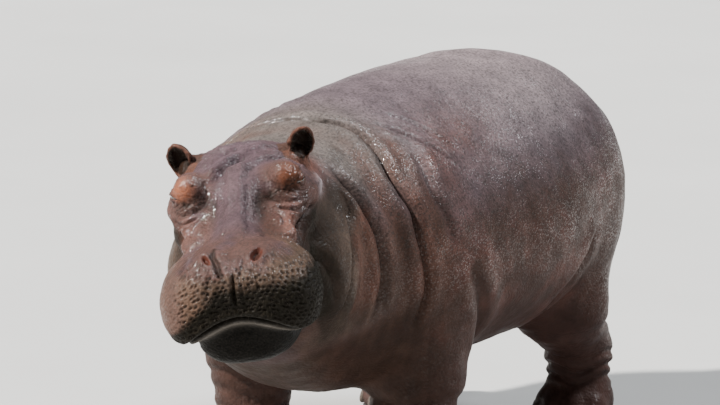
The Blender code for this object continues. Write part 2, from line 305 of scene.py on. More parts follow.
def place(mesh, points):
    mesh.vertices.foreach_set("co", np.ascontiguousarray(points, np.float32).ravel())
    mesh.update()


def new_object(name, data):
    made = bpy.data.objects.new(name, data)
    bpy.context.collection.objects.link(made)
    return made


def from_bmesh(name, bm):
    mesh = bpy.data.meshes.new(name)
    bm.to_mesh(mesh)
    bm.free()
    return new_object(name, mesh)


def modified(obj, kind, **settings):
    """The object with one modifier applied."""
    modifier = obj.modifiers.new(kind.lower(), kind)
    for setting, value in settings.items():
        setattr(modifier, setting, value)
    graph = bpy.context.evaluated_depsgraph_get()
    old, obj.data = obj.data, bpy.data.meshes.new_from_object(obj.evaluated_get(graph))
    obj.modifiers.clear()
    bpy.data.meshes.remove(old)
    return obj


def add_ball(bm, matrix):
    bmesh.ops.create_icosphere(bm, subdivisions=3, radius=1, matrix=matrix)


def add_shape(bm, shape, carried):
    """Rough balls that fill a mass or a limb, for the remesh to join."""
    if isinstance(shape, Limb):
        for start, end in zip(shape.joints, shape.joints[1:]):
            for share in np.linspace(0, 1, 7):
                x, y, z, radius = np.array(start) * (1 - share) + np.array(end) * share
                add_ball(bm, carried @ Matrix.Translation((x, y, z)) @ Matrix.Scale(radius, 4))
        return
    scale = Matrix.Diagonal((*shape.radii, 1))
    add_ball(bm, carried @ Matrix.Translation(shape.at) @ rotation(shape.turn).to_4x4() @ scale)


def settle_by_slope(mesh, rounds, step=0.002):
    """Moves every vertex along the slope of flesh() until it lies on the skin."""
    points = coordinates(mesh)
    for _ in range(rounds):
        here = flesh(points)
        rises = [flesh(points + step * axis) - flesh(points - step * axis) for axis in np.eye(3)]
        slope = np.stack(rises, 1) / (2 * step)
        points = points - slope * (here / np.maximum((slope * slope).sum(1), 0.2))[:, None]
    place(mesh, points)


def settle_by_normal(mesh, rounds, most=0.01):
    """The same for a mesh that is nearly there."""
    for _ in range(rounds):
        points = coordinates(mesh)
        place(mesh, points - normals(mesh) * np.clip(flesh(points), -most, most)[:, None])


# ---------------------------------------------------------------- measures on the skin


def smooth(low, high, value):
    """0 under low, 1 over high, and a soft step between."""
    share = np.clip((value - low) / (high - low), 0, 1)
    return share * share * (3 - 2 * share)


def hump(value, middle, width):
    return np.exp(-(((value - middle) / width) ** 2))


def near(points, at, reach):
    """1 at a place, falling away smoothly past the reach, which may differ along each axis."""
    return np.exp(-(((points - np.array(at)) / np.array(reach)) ** 2).sum(1))


def near_pair(points, at, reach):
    return np.maximum(near(points, at, reach), near(points, on_side(-1, at), reach))


INSIDE = 0.37  # what near() is above within its reach


def metres(millimetres):
    return np.array(millimetres) / 1000


def through(points, pieces=7):
    """Points in metres along a smooth curve through the given ones in millimetres."""
    p = metres([points[0], *points, points[-1]])
    t = np.linspace(0, 1, pieces, endpoint=False)[:, None]
    runs = []
    for a, b, c, d in zip(p, p[1:], p[2:], p[3:]):
        bend = (2 * a - 5 * b + 4 * c - d) * t**2 + (3 * b - a - 3 * c + d) * t**3
        runs.append(0.5 * (2 * b + (c - a) * t + bend))
    return np.concatenate([*runs, p[-1:]])


def from_route(points, outward, route, reach=0.12):
    """How far each point is from a route over the skin, its share of the way along, and how far behind the
    route it is. Far points get a distance of 1."""
    away, share, behind = np.ones(len(points)), np.zeros(len(points)), np.zeros(len(points))
    chosen = np.flatnonzero(((points > route.min(0) - reach) & (points < route.max(0) + reach)).all(1))
    if not len(chosen):
        return away, share, behind
    p, n = points[chosen], outward[chosen]
    best, along, back = np.full(len(chosen), 1.0), np.zeros(len(chosen)), np.zeros(len(chosen))
    lengths = np.linalg.norm(np.diff(route, axis=0), axis=1)
    starts = np.concatenate([[0], np.cumsum(lengths)])
    for a, b, length, start in zip(route, route[1:], lengths, starts):
        run = (b - a) / max(length, 1e-9)
        t = np.clip((p - a) @ run, 0, length)
        gap = p - a - t[:, None] * run
        lift = (gap * n).sum(1)
        flat = np.sqrt(np.maximum((gap * gap).sum(1) - lift * lift, 0))
        flat += 4 * np.maximum(np.abs(lift) - 0.05, 0)
        closer = flat < best
        best = np.where(closer, flat, best)
        along = np.where(closer, start + t, along)
        back = np.where(closer, gap[:, 1], back)
    away[chosen], share[chosen], behind[chosen] = best, along / starts[-1], back
    return away, share, behind


def noise_at(points, scale, seed=0):
    """Smooth noise between about -1 and 1. The scale may differ along each axis."""
    spread = points * np.array(scale) + seed * 17.3
    return np.array([noise.noise(p) for p in spread.tolist()])


# ---------------------------------------------------------------- features of the head, in the head's frame


class Crease(NamedTuple):
    """A groove along a route over the skin, with a soft roll of flesh on both sides, in millimetres."""

    route: tuple
    width: float
    depth: float
    roll: float = 0.0
    sharp: bool = False
    paired: bool = True
    fade: float = 0.18  # of its length, at each end
    lap: float = 0.0  # how much higher the flesh behind it stands


class Swell(NamedTuple):
    """A bump, or a hollow where its height is negative, in millimetres."""

    at: tuple
    reach: tuple
    height: float
    paired: bool = True


NOSTRIL_CREASE = ((-53, -610, -70), (-57, -650, -78), (-48, -675, -88), (-40, -708, -107), (-26, -735, -135))
HEAD_SWELLS = (
    Swell((226, -80, -86), (30, 55, 24), 15),  # cheekbone's end
    Swell((210, -165, -72), (30, 40, 26), 8),
    Swell((76, -315, -18), (26, 60, 40), -17),  # hollow between the eye and the bridge
    Swell((80, -390, -52), (28, 60, 40), -15),
    Swell((95, -470, -85), (30, 50, 40), -10),
    Swell((156, -350, -98), (24, 24, 22), 13),  # pads of the cheek under the eye
    Swell((160, -415, -122), (28, 30, 28), 13),
    Swell((124, -385, -82), (18, 22, 20), 8),
    Swell((100, -300, -30), (20, 26, 28), -10),  # pit ahead of the eye
    Swell((0, -115, 50), (22, 60, 30), -7, paired=False),  # furrow of the forehead
    Swell((0, -20, 50), (50, 40, 30), 6, paired=False),
    Swell((0, -665, -90), (22, 50, 30), -6, paired=False),  # dip between the nostrils
    Swell((200, -530, -150), (40, 50, 40), 5),  # top corner of the muzzle
    Swell((250, -100, -300), (50, 70, 70), 8),  # jowl
    Swell((218, -370, -210), (45, 80, 60), -20),  # hollow behind the cheek
    Swell((65, -30, 45), (32, 30, 30), 8),  # crest between the ears
)
HEAD_CREASES = (
    # down the middle of the upper lip, and between the nostrils
    Crease(((4, -710, -105), (4, -740, -140), (0, -757, -185), (0, -755, -215)), 5, 14, 6, sharp=True,
           paired=False, fade=0.25),
    Crease(NOSTRIL_CREASE, 9.5, 13, 4, paired=False, fade=0.25),
    Crease(((30, -640, -80), (36, -680, -95), (30, -715, -115), (14, -742, -150)), 8, 6, 3, paired=False,
           fade=0.3),
    Crease(((60, -710, -115), (72, -728, -145), (80, -735, -180)), 6, 5, 2),
    # round the cheek, from the corner of the muzzle to the cheekbone
    Crease(((196, -510, -200), (184, -460, -175), (178, -385, -150), (182, -343, -128), (203, -294, -112),
           (222, -240, -108), (236, -160, -125)), 16, 26, 8, sharp=True),
    Crease(((190, -460, -230), (205, -390, -210), (222, -300, -200), (236, -220, -200)), 12, 10, 5),
    Crease(((236, -330, -240), (245, -240, -290), (250, -200, -365), (235, -180, -460)), 16, 12, 6),
    Crease(((200, -310, -335), (218, -270, -310), (225, -250, -260)), 10, 12, 4),
    # under and inside each eye's bulb, and the fold of the lower lid below that
    Crease(((212, -235, -56), (185, -283, -68), (150, -300, -66), (114, -294, -46), (96, -275, -15)), 10.5,
           14, 4, fade=0.35),
    Crease(((-114, -294, -46), (-93, -270, -12), (-92, -232, 20)), 10, 10, 3, paired=False, fade=0.4),
    Crease(((206, -262, -80), (178, -305, -89), (145, -322, -85), (115, -320, -66)), 8, 12, 6),
    Crease(((190, -315, -105), (165, -335, -100), (140, -343, -88)), 6, 5, 2),
    # ridges and furrows of the forehead, from the bridge up to the ears
    Crease(((-105, -205, 20), (-51, -160, 40), (3, -105, 49), (34, -88, 49), (98, -45, 38)), 15, -16,
           paired=False),
    Crease(((-115, -245, -5), (-80, -232, 16), (-35, -190, 34), (18, -138, 45), (70, -112, 44)), 14, 15,
           paired=False, fade=0.3),
    Crease(((-130, -150, 20), (-80, -120, 42), (-30, -70, 50), (20, -45, 50)), 10, 8, 2, paired=False),
    Crease(((45, -235, 22), (60, -180, 36), (98, -135, 38), (145, -105, 24), (190, -100, -10)), 14, 9, 3,
           paired=False),
    Crease(((15, -85, 50), (60, -55, 45), (110, -35, 34), (150, -45, 20)), 10, 9, 3),
    # small folds of the cheek, and behind the eye
    Crease(((120, -345, -60), (137, -370, -85), (138, -410, -108)), 6, 4, 2),
    Crease(((155, -375, -115), (175, -400, -125), (184, -440, -135)), 6, 4, 2),
    Crease(((100, -450, -80), (140, -460, -100), (170, -450, -140)), 7, 5, 2),
    Crease(((170, -60, 0), (200, -55, -30), (222, -40, -80), (230, -30, -150)), 10, 6, 4),
)
BRIDGE = ((0, -140, 40), (0, -220, 20), (0, -300, -2), (0, -370, -40), (0, -480, -63), (0, -570, -75))
# The main fold, behind the neck, and the creases of the body, in the model's frame.
MAIN_FOLD = (
    (340, -430, 600), (430, -400, 700), (463, -395, 802), (435, -415, 959), (416, -410, 1020),
    (374, -422, 1091), (330, -415, 1150), (257, -380, 1219), (163, -376, 1273), (72, -407, 1290),
    (-30, -415, 1285), (-130, -430, 1250), (-230, -440, 1180), (-310, -450, 1080), (-360, -450, 950),
    (-380, -440, 800),
)
BODY_CREASES = (
    Crease(MAIN_FOLD, 15, 16, 6, sharp=True, paired=False, fade=0.12, lap=14),
    Crease(((220, -640, 1190), (280, -645, 1160), (320, -629, 1112), (357, -605, 1047), (376, -587, 997),
           (395, -575, 906), (385, -570, 800), (330, -600, 680)), 17, 18, 9, sharp=True),
    Crease(((300, -710, 1150), (331, -689, 1085), (361, -727, 1020), (386, -754, 928), (370, -780, 830),
           (310, -820, 720)), 14, 14, 7, sharp=True),
    Crease(((330, -280, 1200), (375, -264, 1151), (430, -301, 1076), (471, -288, 1002), (500, -270, 880)),
           20, 10, 5),
    Crease(((180, -280, 1265), (255, -238, 1246), (332, -174, 1202), (376, -130, 1169), (436, -88, 1104)),
           10, 6, 4),
    Crease(((160, -200, 1270), (240, -130, 1250), (330, -60, 1200), (410, 0, 1140)), 9, 4, 3),
    Crease(((440, 520, 420), (500, 560, 560), (500, 660, 700), (490, 750, 820)), 30, 18, 10),
    Crease(((420, -20, 500), (470, -60, 600), (500, -130, 720), (510, -200, 840)), 28, 14, 8),
    Crease(((140, 1050, 1100), (160, 1250, 1000), (150, 1360, 850), (140, 1380, 700)), 30, 16, 10),
    Crease(((150, 500, 370), (180, 660, 400), (160, 800, 450)), 25, 12, 6),
)
# Rings of folds round each ankle, in metres: height, width and depth.
LEG_RINGS = ((0.155, 0.009, 0.006), (0.195, 0.010, 0.007), (0.245, 0.012, 0.006), (0.37, 0.014, 0.006))

NOSTRIL = (0.076, -0.662, -0.086)
NOSTRIL_OUT = Vector((0.0, -0.62, 0.78)).normalized()
NOSTRIL_RADII = {1: (0.0165, 0.030), -1: (0.0095, 0.024)}  # of each side's: the right one is half closed
NOSTRIL_LEAN = -24  # degrees, tops away from each other
# The lids: which way the eye looks, the half-widths of their opening in degrees, and their thickness.
LOOK = Vector((0.86, -0.50, 0.08)).normalized()
OPENING, UPPER, LOWER = 56, 13, 9
LID = 0.0065
# The pits of the upper lip, from which its bristles grow: a staggered lattice wrapped round the muzzle.
PIT_ROWS, PIT_SPACING = 0.0132, 0.0150


def mouth_height(x):
    """Height of the line of the mouth in the head's frame: it arches between the two lobes."""
    return MOUTH_HEIGHT - MOUTH_DROP * np.minimum(np.abs(x) / 0.18, 1.0) ** 2


def eye_angles(head, side):
    """How far points are from an eye's middle, and their angles to its look, across and up, in degrees."""
    look = np.array(on_side(side, LOOK))
    across = np.cross((0, 0, 1), look)
    across /= np.linalg.norm(across)
    reach = head - np.array(on_side(side, EYE_PLACE))
    ahead, sideways, rise = reach @ look, reach @ across, reach @ np.cross(look, across)
    up = np.degrees(np.arctan2(rise, np.hypot(ahead, sideways)))
    return np.linalg.norm(reach, axis=1), reach, np.degrees(np.arctan2(sideways, ahead)), up


def lids(head):
    """Moves of the skin that open it over the eyeballs and raise lids round them."""
    moves = np.zeros_like(head)
    for side, _ in SIDES:
        away, reach, across, up = eye_angles(head, side)
        edge = np.where(up > 0, UPPER, LOWER) * np.maximum(1 - (across / OPENING) ** 2, 0)
        inside = (np.abs(across) < OPENING) & (np.abs(up) < edge) & (away < 2 * EYE_RADIUS)
        beyond = np.maximum(np.abs(up) - edge, np.abs(across) - OPENING)  # degrees outside the opening
        thick = LID * np.where(up > 0, 1.15, 0.85) * (1 - smooth(30, 100, beyond))
        crown = (EYE_RADIUS + thick) * (1 - 0.06 * hump(beyond, 24, 7))
        raised = np.where(beyond < 95, np.maximum(away, crown), away)
        wanted = np.where(inside, EYE_RADIUS * 0.86, raised)
        wanted = np.where(away < 2.2 * EYE_RADIUS, wanted, away)
        moves += reach * (wanted / np.maximum(away, 1e-6) - 1)[:, None]
        ring = hump(away, EYE_RADIUS * 1.72, 0.005) * smooth(40, -20, up)
        moves -= reach / np.maximum(away, 1e-6)[:, None] * (ring * 0.004)[:, None]
    return moves


def nostril_share(head):
    """How far points are from the nearer nostril's middle, where 1 is its edge."""
    best = np.full(len(head), 99.0)
    for side, _ in SIDES:
        lean = math.radians(NOSTRIL_LEAN) * side
        across = Vector((math.cos(lean), 0, 0)) + NOSTRIL_OUT.cross(Vector((1, 0, 0))) * math.sin(lean)
        reach = head - np.array(on_side(side, NOSTRIL))
        wide, high = NOSTRIL_RADII[side]
        a, b = reach @ np.array(across) / wide, reach @ np.array(NOSTRIL_OUT.cross(across)) / high
        share = np.hypot(a, b) + 30 * np.maximum(np.abs(reach @ np.array(NOSTRIL_OUT)) - 0.03, 0)
        best = np.minimum(best, share)
    return best


def pit_lattice(head):
    """Each point's pit: its row and column, and how far off it is."""
    around = 0.27 * np.arctan2(head[:, 0], -(head[:, 1] + 0.42))
    height = head[:, 2] + 0.35 * np.maximum(np.abs(head[:, 0]) - 0.10, 0)
    row = np.round(height / PIT_ROWS)
    column = np.round(around / PIT_SPACING - 0.5 * (row % 2))
    wobble = np.sin(row * 12.9 + column * 78.2), np.sin(row * 39.3 + column * 11.1)
    across = (column + 0.5 * (row % 2) + 0.22 * wobble[0]) * PIT_SPACING - around
    up = (row + 0.22 * wobble[1]) * PIT_ROWS - height
    return row, column, np.hypot(across, up)


def pitted(head):
    """1 where the lip is pitted, 0 elsewhere."""
    x, y, z = head.T
    sides = smooth(-0.43, -0.55, y + 0.025 * np.sin(55 * z) + 0.02 * np.sin(140 * z + 1))
    top = smooth(-0.068, -0.112, z + 0.3 * np.maximum(np.abs(x) - 0.10, 0)) * smooth(-0.21, -0.15, x)
    return sides * top * smooth(0.010, 0.026, z - mouth_height(x)) * smooth(0.0, 0.012, np.abs(x))


def crease_move(points, outward, crease, side):
    away, share, behind = from_route(points, outward, through([on_side(side, at) for at in crease.route]))
    width, depth, roll, lap = metres((crease.width, crease.depth, crease.roll, crease.lap))
    ends = smooth(0, crease.fade, share) * smooth(1, 1 - crease.fade, share)
    groove = np.exp(-away / (0.7 * width)) if crease.sharp else hump(away, 0, width)
    risen = roll * hump(away, 2.6 * width, 1.6 * width)
    lapped = lap * smooth(0, 0.5 * width, behind) * np.exp(-away / (2.0 * width))
    return (risen + lapped - depth * groove) * ends


def creases_of(points, outward, creases):
    total = np.zeros(len(points))
    for crease in creases:
        for side in (1, -1) if crease.paired else (1,):
            total += crease_move(points, outward, crease, side)
    return total


def head_sculpt(head, outward):
    """How far the skin of the head moves outwards, in the head's frame."""
    total = creases_of(head, outward, HEAD_CREASES)
    for swell in HEAD_SWELLS:
        felt = (near_pair if swell.paired else near)(head, metres(swell.at), metres(swell.reach))
        total += metres(swell.height) * felt
    away, share, _ = from_route(head, outward, through(BRIDGE))
    away = away + 0.005 * noise_at(head, 22, 17)
    away -= 0.014 * smooth(0.6, 1.0, share) + 0.008 * smooth(0.3, 0.0, share)
    total += 0.017 * smooth(0.040, 0.012, away) * smooth(0, 0.15, share) * smooth(1, 0.75, share)
    open_share = nostril_share(head)
    total += 0.0015 * hump(open_share, 1.5, 0.4) - 0.016 * smooth(1.15, 0.45, open_share)
    gap = head[:, 2] - mouth_height(head[:, 0])
    mouth = smooth(-0.27, -0.33, head[:, 1])  # 0 past its corners
    total += mouth * (0.006 * hump(gap, 0.020, 0.014) - 0.020 * np.exp(-np.abs(gap) / 0.005))
    total += mouth * (0.003 * hump(gap, -0.013, 0.006) - 0.012 * hump(gap, -0.040, 0.020))
    row, column, off = pit_lattice(head)
    uneven = 0.45 + 0.55 * np.abs(np.sin(row * 5.3 + column * 9.7))
    total += pitted(head) * uneven * (0.0016 * hump(off, 0.0076, 0.0030) - 0.0042 * hump(off, 0, 0.0043))
    for side, _ in SIDES:
        away, _, _, up = eye_angles(head, side)
        below = smooth(10, -30, up) * smooth(0.085, 0.06, away)
        for ring in (0.046, 0.057, 0.068):  # rings of wrinkles under the eye
            total -= 0.0022 * below * hump(away, ring, 0.0034)
    return total


def fine_wrinkles(points, head):
    """Wrinkles that follow the form: across the neck, round the legs, and a leathery net on the head."""
    on_head = smooth(0.16, 0.02, head[:, 1]) * smooth(-0.62, -0.55, head[:, 2])
    neck = smooth(-0.95, -0.75, points[:, 1]) * smooth(-0.05, -0.30, points[:, 1]) * (1 - on_head)
    legs = smooth(0.50, 0.34, points[:, 2]) * smooth(0.05, 0.10, points[:, 2])
    broad = noise_at(points, 6.5, 1) * 0.0045 + noise_at(points, 15, 2) * 0.0022
    lines = 1 - smooth(0.0, 0.16, np.abs(noise_at(points, (34, 30, 38), 5)))
    total = broad * (1 - 0.6 * on_head) * smooth(0.03, 0.12, points[:, 2])
    total += noise_at(points, (16, 42, 9), 3) * 0.0012 * neck
    total += noise_at(points, (11, 11, 42), 4) * 0.003 * legs
    total -= lines * (0.0007 * on_head * (1 - pitted(head)) + 0.0006 * neck + 0.0008 * legs + 0.0003)
    trunk = smooth(-0.35, -0.10, points[:, 1]) * smooth(0.36, 0.50, points[:, 2])
    across = 1 - smooth(0.0, 0.10, np.abs(noise_at(points, (5, 19, 4), 13)))
    total -= 0.0016 * across * trunk * smooth(-0.2, 0.3, noise_at(points, 2.5, 14))
    warts = smooth(0.25, 0.6, noise_at(points, 42, 6)) * smooth(-0.62, -0.52, head[:, 1])
    return total + 0.0028 * warts * on_head * smooth(-0.16, -0.06, head[:, 2])


def leg_sculpt(points):
    """Rings of soft folds round the ankles."""
    total = np.zeros(len(points))
    for name in LEGS:
        foot, radius = foot_place(name)
        foot += SHIFT
        x, y = points[:, 0] - foot.x, points[:, 1] - foot.y
        on_leg = smooth(2.6 * radius, 2.0 * radius, np.hypot(x, y))
        sway = 0.012 * np.sin(3 * np.arctan2(x, y) + foot.x * 9)
        for height, width, depth in LEG_RINGS:
            gap = points[:, 2] - height - sway
            rolls = 0.35 * depth * hump(np.abs(gap), 2.4 * width, 1.3 * width)
            total += on_leg * (rolls - depth * hump(gap, 0, width))
    return total


def sculpted(skin):
    """Moves the smooth skin's vertices into its folds and wrinkles, and returns how far each one moved."""
    points, outward = coordinates(skin.data), normals(skin.data)
    head = in_head(points)
    close = head[:, 1] < 0.25
    move = np.zeros(len(points))
    move[close] = head_sculpt(head[close], (outward @ HEAD_TURN)[close])
    move += creases_of(points, outward, BODY_CREASES) + leg_sculpt(points)
    move += fine_wrinkles(points, head)
    move *= smooth(-0.001, 0.02, points[:, 2])  # the soles stay flat
    points = points + outward * move[:, None]
    shaped = in_head(points[close])
    points[close] = into(HEAD_FRAME, shaped + lids(shaped))
    points[:, 2] = np.maximum(points[:, 2], 0)
    place(skin.data, points)
    return move


# ---------------------------------------------------------------- the skin


def refined(skin, wanted):
    """Splits in two the edges of the faces whose middles are wanted."""
    bm = bmesh.new()
    bm.from_mesh(skin.data)
    middles = np.array([face.calc_center_median()[:] for face in bm.faces])
    bm.faces.ensure_lookup_table()
    chosen = [bm.faces[number] for number in np.flatnonzero(wanted(middles))]
    edges = list({edge for face in chosen for edge in face.edges})
    bmesh.ops.subdivide_edges(bm, edges=edges, cuts=1, use_grid_fill=True)
    bm.to_mesh(skin.data)
    bm.free()


def wants_head(points):
    """Where the skin needs about 5 mm: the head, the feet, and along the folds of the body."""
    head = in_head(points)
    found = (head[:, 1] < 0.10) & (head[:, 2] > -0.60) | (points[:, 2] < 0.30)
    still = np.zeros_like(points)
    for crease in BODY_CREASES:
        for side in (1, -1):
            route = through([on_side(side, at) for at in crease.route])
            found |= from_route(points, still, route)[0] < 2.8 * metres(crease.width)
    return found


def wants_detail(points):
    """Where it needs half that: the muzzle, the mouth, the folds of the cheek, the eyes and the ears."""
    head = in_head(points)
    above = head[:, 2] - mouth_height(head[:, 0])
    found = (head[:, 1] < -0.47) & (above > -0.04) | (head[:, 1] < -0.25) & (np.abs(above) < 0.025)
    for at, reach in ((EYE_PLACE, 0.085), ((0.17, -0.38, -0.10), (0.09, 0.14, 0.08)), (EAR_PLACE, 0.08)):
        found |= near_pair(head, at, reach) > INSIDE
    return found


def wants_finest(points):
    return near_pair(in_head(points), EYE_PLACE, 0.042) > INSIDE


def ear_ring(step, around=64):
    """One ring of the cup of an ear of unit size: its back up to a step of 0.5, its thick rolled rim up to
    0.6, and its bowl up to 1."""
    turn = np.linspace(0, 2 * math.pi, around, endpoint=False)
    if step < 0.5:
        bend = math.pi / 2 * step / 0.5
        size, depth = math.sin(bend), math.cos(bend)
    elif step < 0.6:
        bend = math.pi * (step - 0.5) / 0.1
        size, depth = 0.87 + 0.13 * math.cos(bend), -0.17 * math.sin(bend)
    else:
        bend = math.pi / 2 * (step - 0.6) / 0.4
        size, depth = 0.74 * math.cos(bend), 0.62 * math.sin(bend)
    rim = math.exp(-(((step - 0.53) / 0.09) ** 2))
    size = size * (1 + rim * (0.035 * np.sin(5 * turn + 0.7) + 0.02 * np.sin(11 * turn)))
    x, z = size * np.sin(turn), size * np.cos(turn)
    inner = smooth(0.55, 0.75, np.float64(step))
    depth = depth + 0.06 * inner * np.cos(5 * turn) * size  # ribs inside the bowl
    stem = np.maximum(-z - 0.35, 0)
    return np.stack([x * (1 - 0.45 * stem), depth - inner * 1.9 * stem, z - 0.75 * stem], 1)


def ear_turn(side):
    return rotation((-4, side * 22, side * 24))


def in_ear(head, side):
    """Points of the head's frame in the frame of an ear of unit size."""
    return (head - np.array(on_side(side, EAR_PLACE))) @ np.array(ear_turn(side)) / np.array(EAR_RADII)


def ear(side, profile=40):
    bm = bmesh.new()
    rings = [[bm.verts.new(point) for point in ear_ring(step)] for step in np.linspace(0.02, 0.98, profile)]
    for first, second in zip(rings, rings[1:]):
        for number in range(len(first)):
            after = (number + 1) % len(first)
            bm.faces.new((first[number], first[after], second[after], second[number]))
    bm.faces.new(rings[0][::-1])
    bm.faces.new(rings[-1])
    bmesh.ops.triangulate(bm, faces=[face for face in bm.faces if len(face.verts) > 4])
    bmesh.ops.recalc_face_normals(bm, faces=bm.faces)
    turned = HEAD_FRAME @ Matrix.Translation(on_side(side, EAR_PLACE)) @ ear_turn(side).to_4x4()
    bm.transform(turned @ Matrix.Diagonal((*EAR_RADII, 1)))
    if bm.calc_volume(signed=True) < 0:
        bmesh.ops.reverse_faces(bm, faces=bm.faces)
    return from_bmesh("ear", bm)


def smooth_skin():
    """The whole flesh as one even closed mesh, finer on the head, standing on flat soles."""
    bm = bmesh.new()
    for shapes, carried in ((BODY_SHAPES, Matrix.Translation(SHIFT)), (HEAD_SHAPES, HEAD_FRAME)):
        for shape in shapes:
            add_shape(bm, shape, carried)
    skin = from_bmesh("skin", bm)
    modified(skin, "REMESH", mode="VOXEL", voxel_size=0.024)
    for _ in range(2):
        settle_by_slope(skin.data, 3)
        modified(skin, "SMOOTH", factor=0.5, iterations=3)
    settle_by_slope(skin.data, 2)
    modified(skin, "REMESH", mode="VOXEL", voxel_size=0.010)
    modified(skin, "SMOOTH", factor=0.5, iterations=4)
    settle_by_normal(skin.data, 2)
    refined(skin, wants_head)
    modified(skin, "SMOOTH", factor=0.5, iterations=2)
    settle_by_normal(skin.data, 2)
    refined(skin, wants_detail)
    refined(skin, wants_finest)
    settle_by_normal(skin.data, 1)
    points = coordinates(skin.data)
    points[:, 2] = np.maximum(points[:, 2], 0)
    place(skin.data, points)
    return skin


def with_ears(skin):
    """Joins the ears to the skin, and rounds the corner where they meet it."""
    for side, _ in SIDES:
        joined = ear(side)
        modified(skin, "BOOLEAN", operation="UNION", solver="MANIFOLD", object=joined)
        bpy.data.objects.remove(joined)
    points = coordinates(skin.data)
    close = np.flatnonzero(near_pair(in_head(points), (0.185, -0.005, -0.01), 0.085) > INSIDE)
    meeting = np.exp(-((flesh(points[close]) / 0.008) ** 2))
    group = skin.vertex_groups.new(name="meeting")
    for number, share in zip(close.tolist(), meeting.tolist()):
        if share > 0.02:
            group.add([number], share, "REPLACE")
    modified(skin, "SMOOTH", factor=0.5, iterations=14, vertex_group="meeting")
    skin.vertex_groups.clear()
    return skin


# ---------------------------------------------------------------- the skin's unwrap, shared by its bristles

# Each part of the body is seen from six sides, and each of those views is one patch of the unwrap.
# How large each part is drawn there.
ATLAS_SHARES = {"head": 2.6, "body": 1.0, "tail": 1.6, **dict.fromkeys(LEGS, 1.3)}


def part_numbers(points):
    """Which part of the body each point is on, as its place in ATLAS_SHARES."""
    names = list(ATLAS_SHARES)
    head, own = in_head(points), points - np.array(SHIFT)
    found = np.full(len(points), names.index("body"))
    found[(own[:, 1] > 1.268) & (own[:, 2] < 0.975) & (np.abs(own[:, 0]) < 0.2)] = names.index("tail")
    for name, (pair, side, _) in LEGS.items():
        along = own[:, 1] < 0.2 if pair == "fore" else own[:, 1] > 0.2
        found[(own[:, 2] < 0.352) & (own[:, 0] * side > 0) & along] = names.index(name)
    found[(head[:, 1] < 0.10) & (head[:, 2] > -0.62)] = names.index("head")
    return found


def views(points, outward):
    """The points seen in each view of each part: the view's key, their numbers, and the two axes that it is
    drawn along, as long as it is large."""
    parts = part_numbers(points)
    for number, (name, share) in enumerate(ATLAS_SHARES.items()):
        chosen = np.flatnonzero(parts == number)
        turn = HEAD_TURN if name == "head" else np.eye(3)
        facing = outward[chosen] @ turn
        axis = np.abs(facing).argmax(1)
        side = facing[np.arange(len(chosen)), axis] > 0
        for view in range(6):
            seen = chosen[2 * axis + side == view]
            if len(seen):
                yield (number, view), seen, np.delete(turn, view // 2, axis=1) * share


class Atlas:
    """Places on the unwrap for points of the skin."""

    def __init__(self, points, outward):
        patches = []
        for key, seen, axes in views(points, outward):
            flat = points[seen] @ axes
            wide, high = flat.max(0) - flat.min(0)
            patches.append((high, wide, key, tuple(flat.min(0))))
        patches.sort(reverse=True)
        self.scale = 1.0
        while not self.packed(patches):
            self.scale *= 0.97

    def packed(self, patches, margin=0.006):
        """Shelves of patches. False where they don't fit at this scale."""
        x, y, shelf, self.corners = margin, margin, 0.0, {}
        for high, wide, key, low in patches:
            if x + wide * self.scale + margin > 1:
                x, y, shelf = margin, y + shelf + margin, 0.0
            self.corners[key] = np.array((x, y)) - np.array(low) * self.scale
            x += wide * self.scale + margin
            shelf = max(shelf, high * self.scale)
        widest = max(wide for _, wide, _, _ in patches)
        return y + shelf + margin < 1 and widest * self.scale < 1 - 2 * margin

    def places(self, points, outward, spots=None):
        """Where the points lie, or other spots, each drawn in the view that its point is seen in."""
        spots = points if spots is None else spots
        found = np.full((len(points), 2), 0.5)
        for key, seen, axes in views(points, outward):
            if key in self.corners:
                found[seen] = spots[seen] @ axes * self.scale + self.corners[key]
        return found


def unwrapped(skin):
    """Gives the skin its unwrap: each face goes whole to the patch that its middle belongs to."""
    mesh = skin.data
    middles, facing = read(mesh.polygons, "center"), read(mesh.polygons, "normal")
    atlas = Atlas(middles, facing)
    corners = coordinates(mesh)[read(mesh.loops, "vertex_index", 1, int)]
    owner = np.repeat(np.arange(len(middles)), read(mesh.polygons, "loop_total", 1, int))
    places = atlas.places(middles[owner], facing[owner], corners)
    mesh.uv_layers.new(name="OFBake").data.foreach_set("uv", places.astype(np.float32).ravel())
    return atlas


# ---------------------------------------------------------------- colours painted on the skin


def tones(codes):
    """Colours of light from the usual six digits of each."""
    pairs = [(code[:2], code[2:4], code[4:]) for code in codes.split()]
    shares = np.array([[int(pair, 16) / 255 for pair in colour] for colour in pairs])
    return np.where(shares <= 0.04045, shares / 12.92, ((shares + 0.055) / 1.055) ** 2.4)


# The second here, a pale grey, is a painted sheen of water on the top of the back.
BACK, BACK_SHEEN, FLANK, FLANK_RED, BELLY = tones("5a5055 7d7375 40302b 573a34 3e2d29")
# The first here, dark brown, is the chest's own and also painted shade behind the shoulder's fold.
CHEST_BROWN_AND_SHADE, NECK_TOP, FOLD_BAND, LOW_BAND = tones("2c201a 5a5551 553c34 4b322a")
# The second here, near black, is painted shade in creases, pits, nostrils and round the eyes' bulbs,
# and also the pupils' black. The fourth is dark olive skin and painted shade in clefts. The last is
# painted shade, with dark wet skin, on the lower jaw and in the cleft behind the cheek.
SOLE, SHADE_AND_PUPIL_DARK, JOWL_BROWN, OLIVE_AND_SHADE, JAW_DARK_AND_SHADE = tones("2c2522 17100d 3a312b 17130d 060503")
# The last here, near black, is dark skin and painted shade under the muzzle.
MUZZLE_TOP, MUZZLE_MID, MUZZLE_DARK_AND_SHADE = tones("4f3b37 40332a 0f0e08")
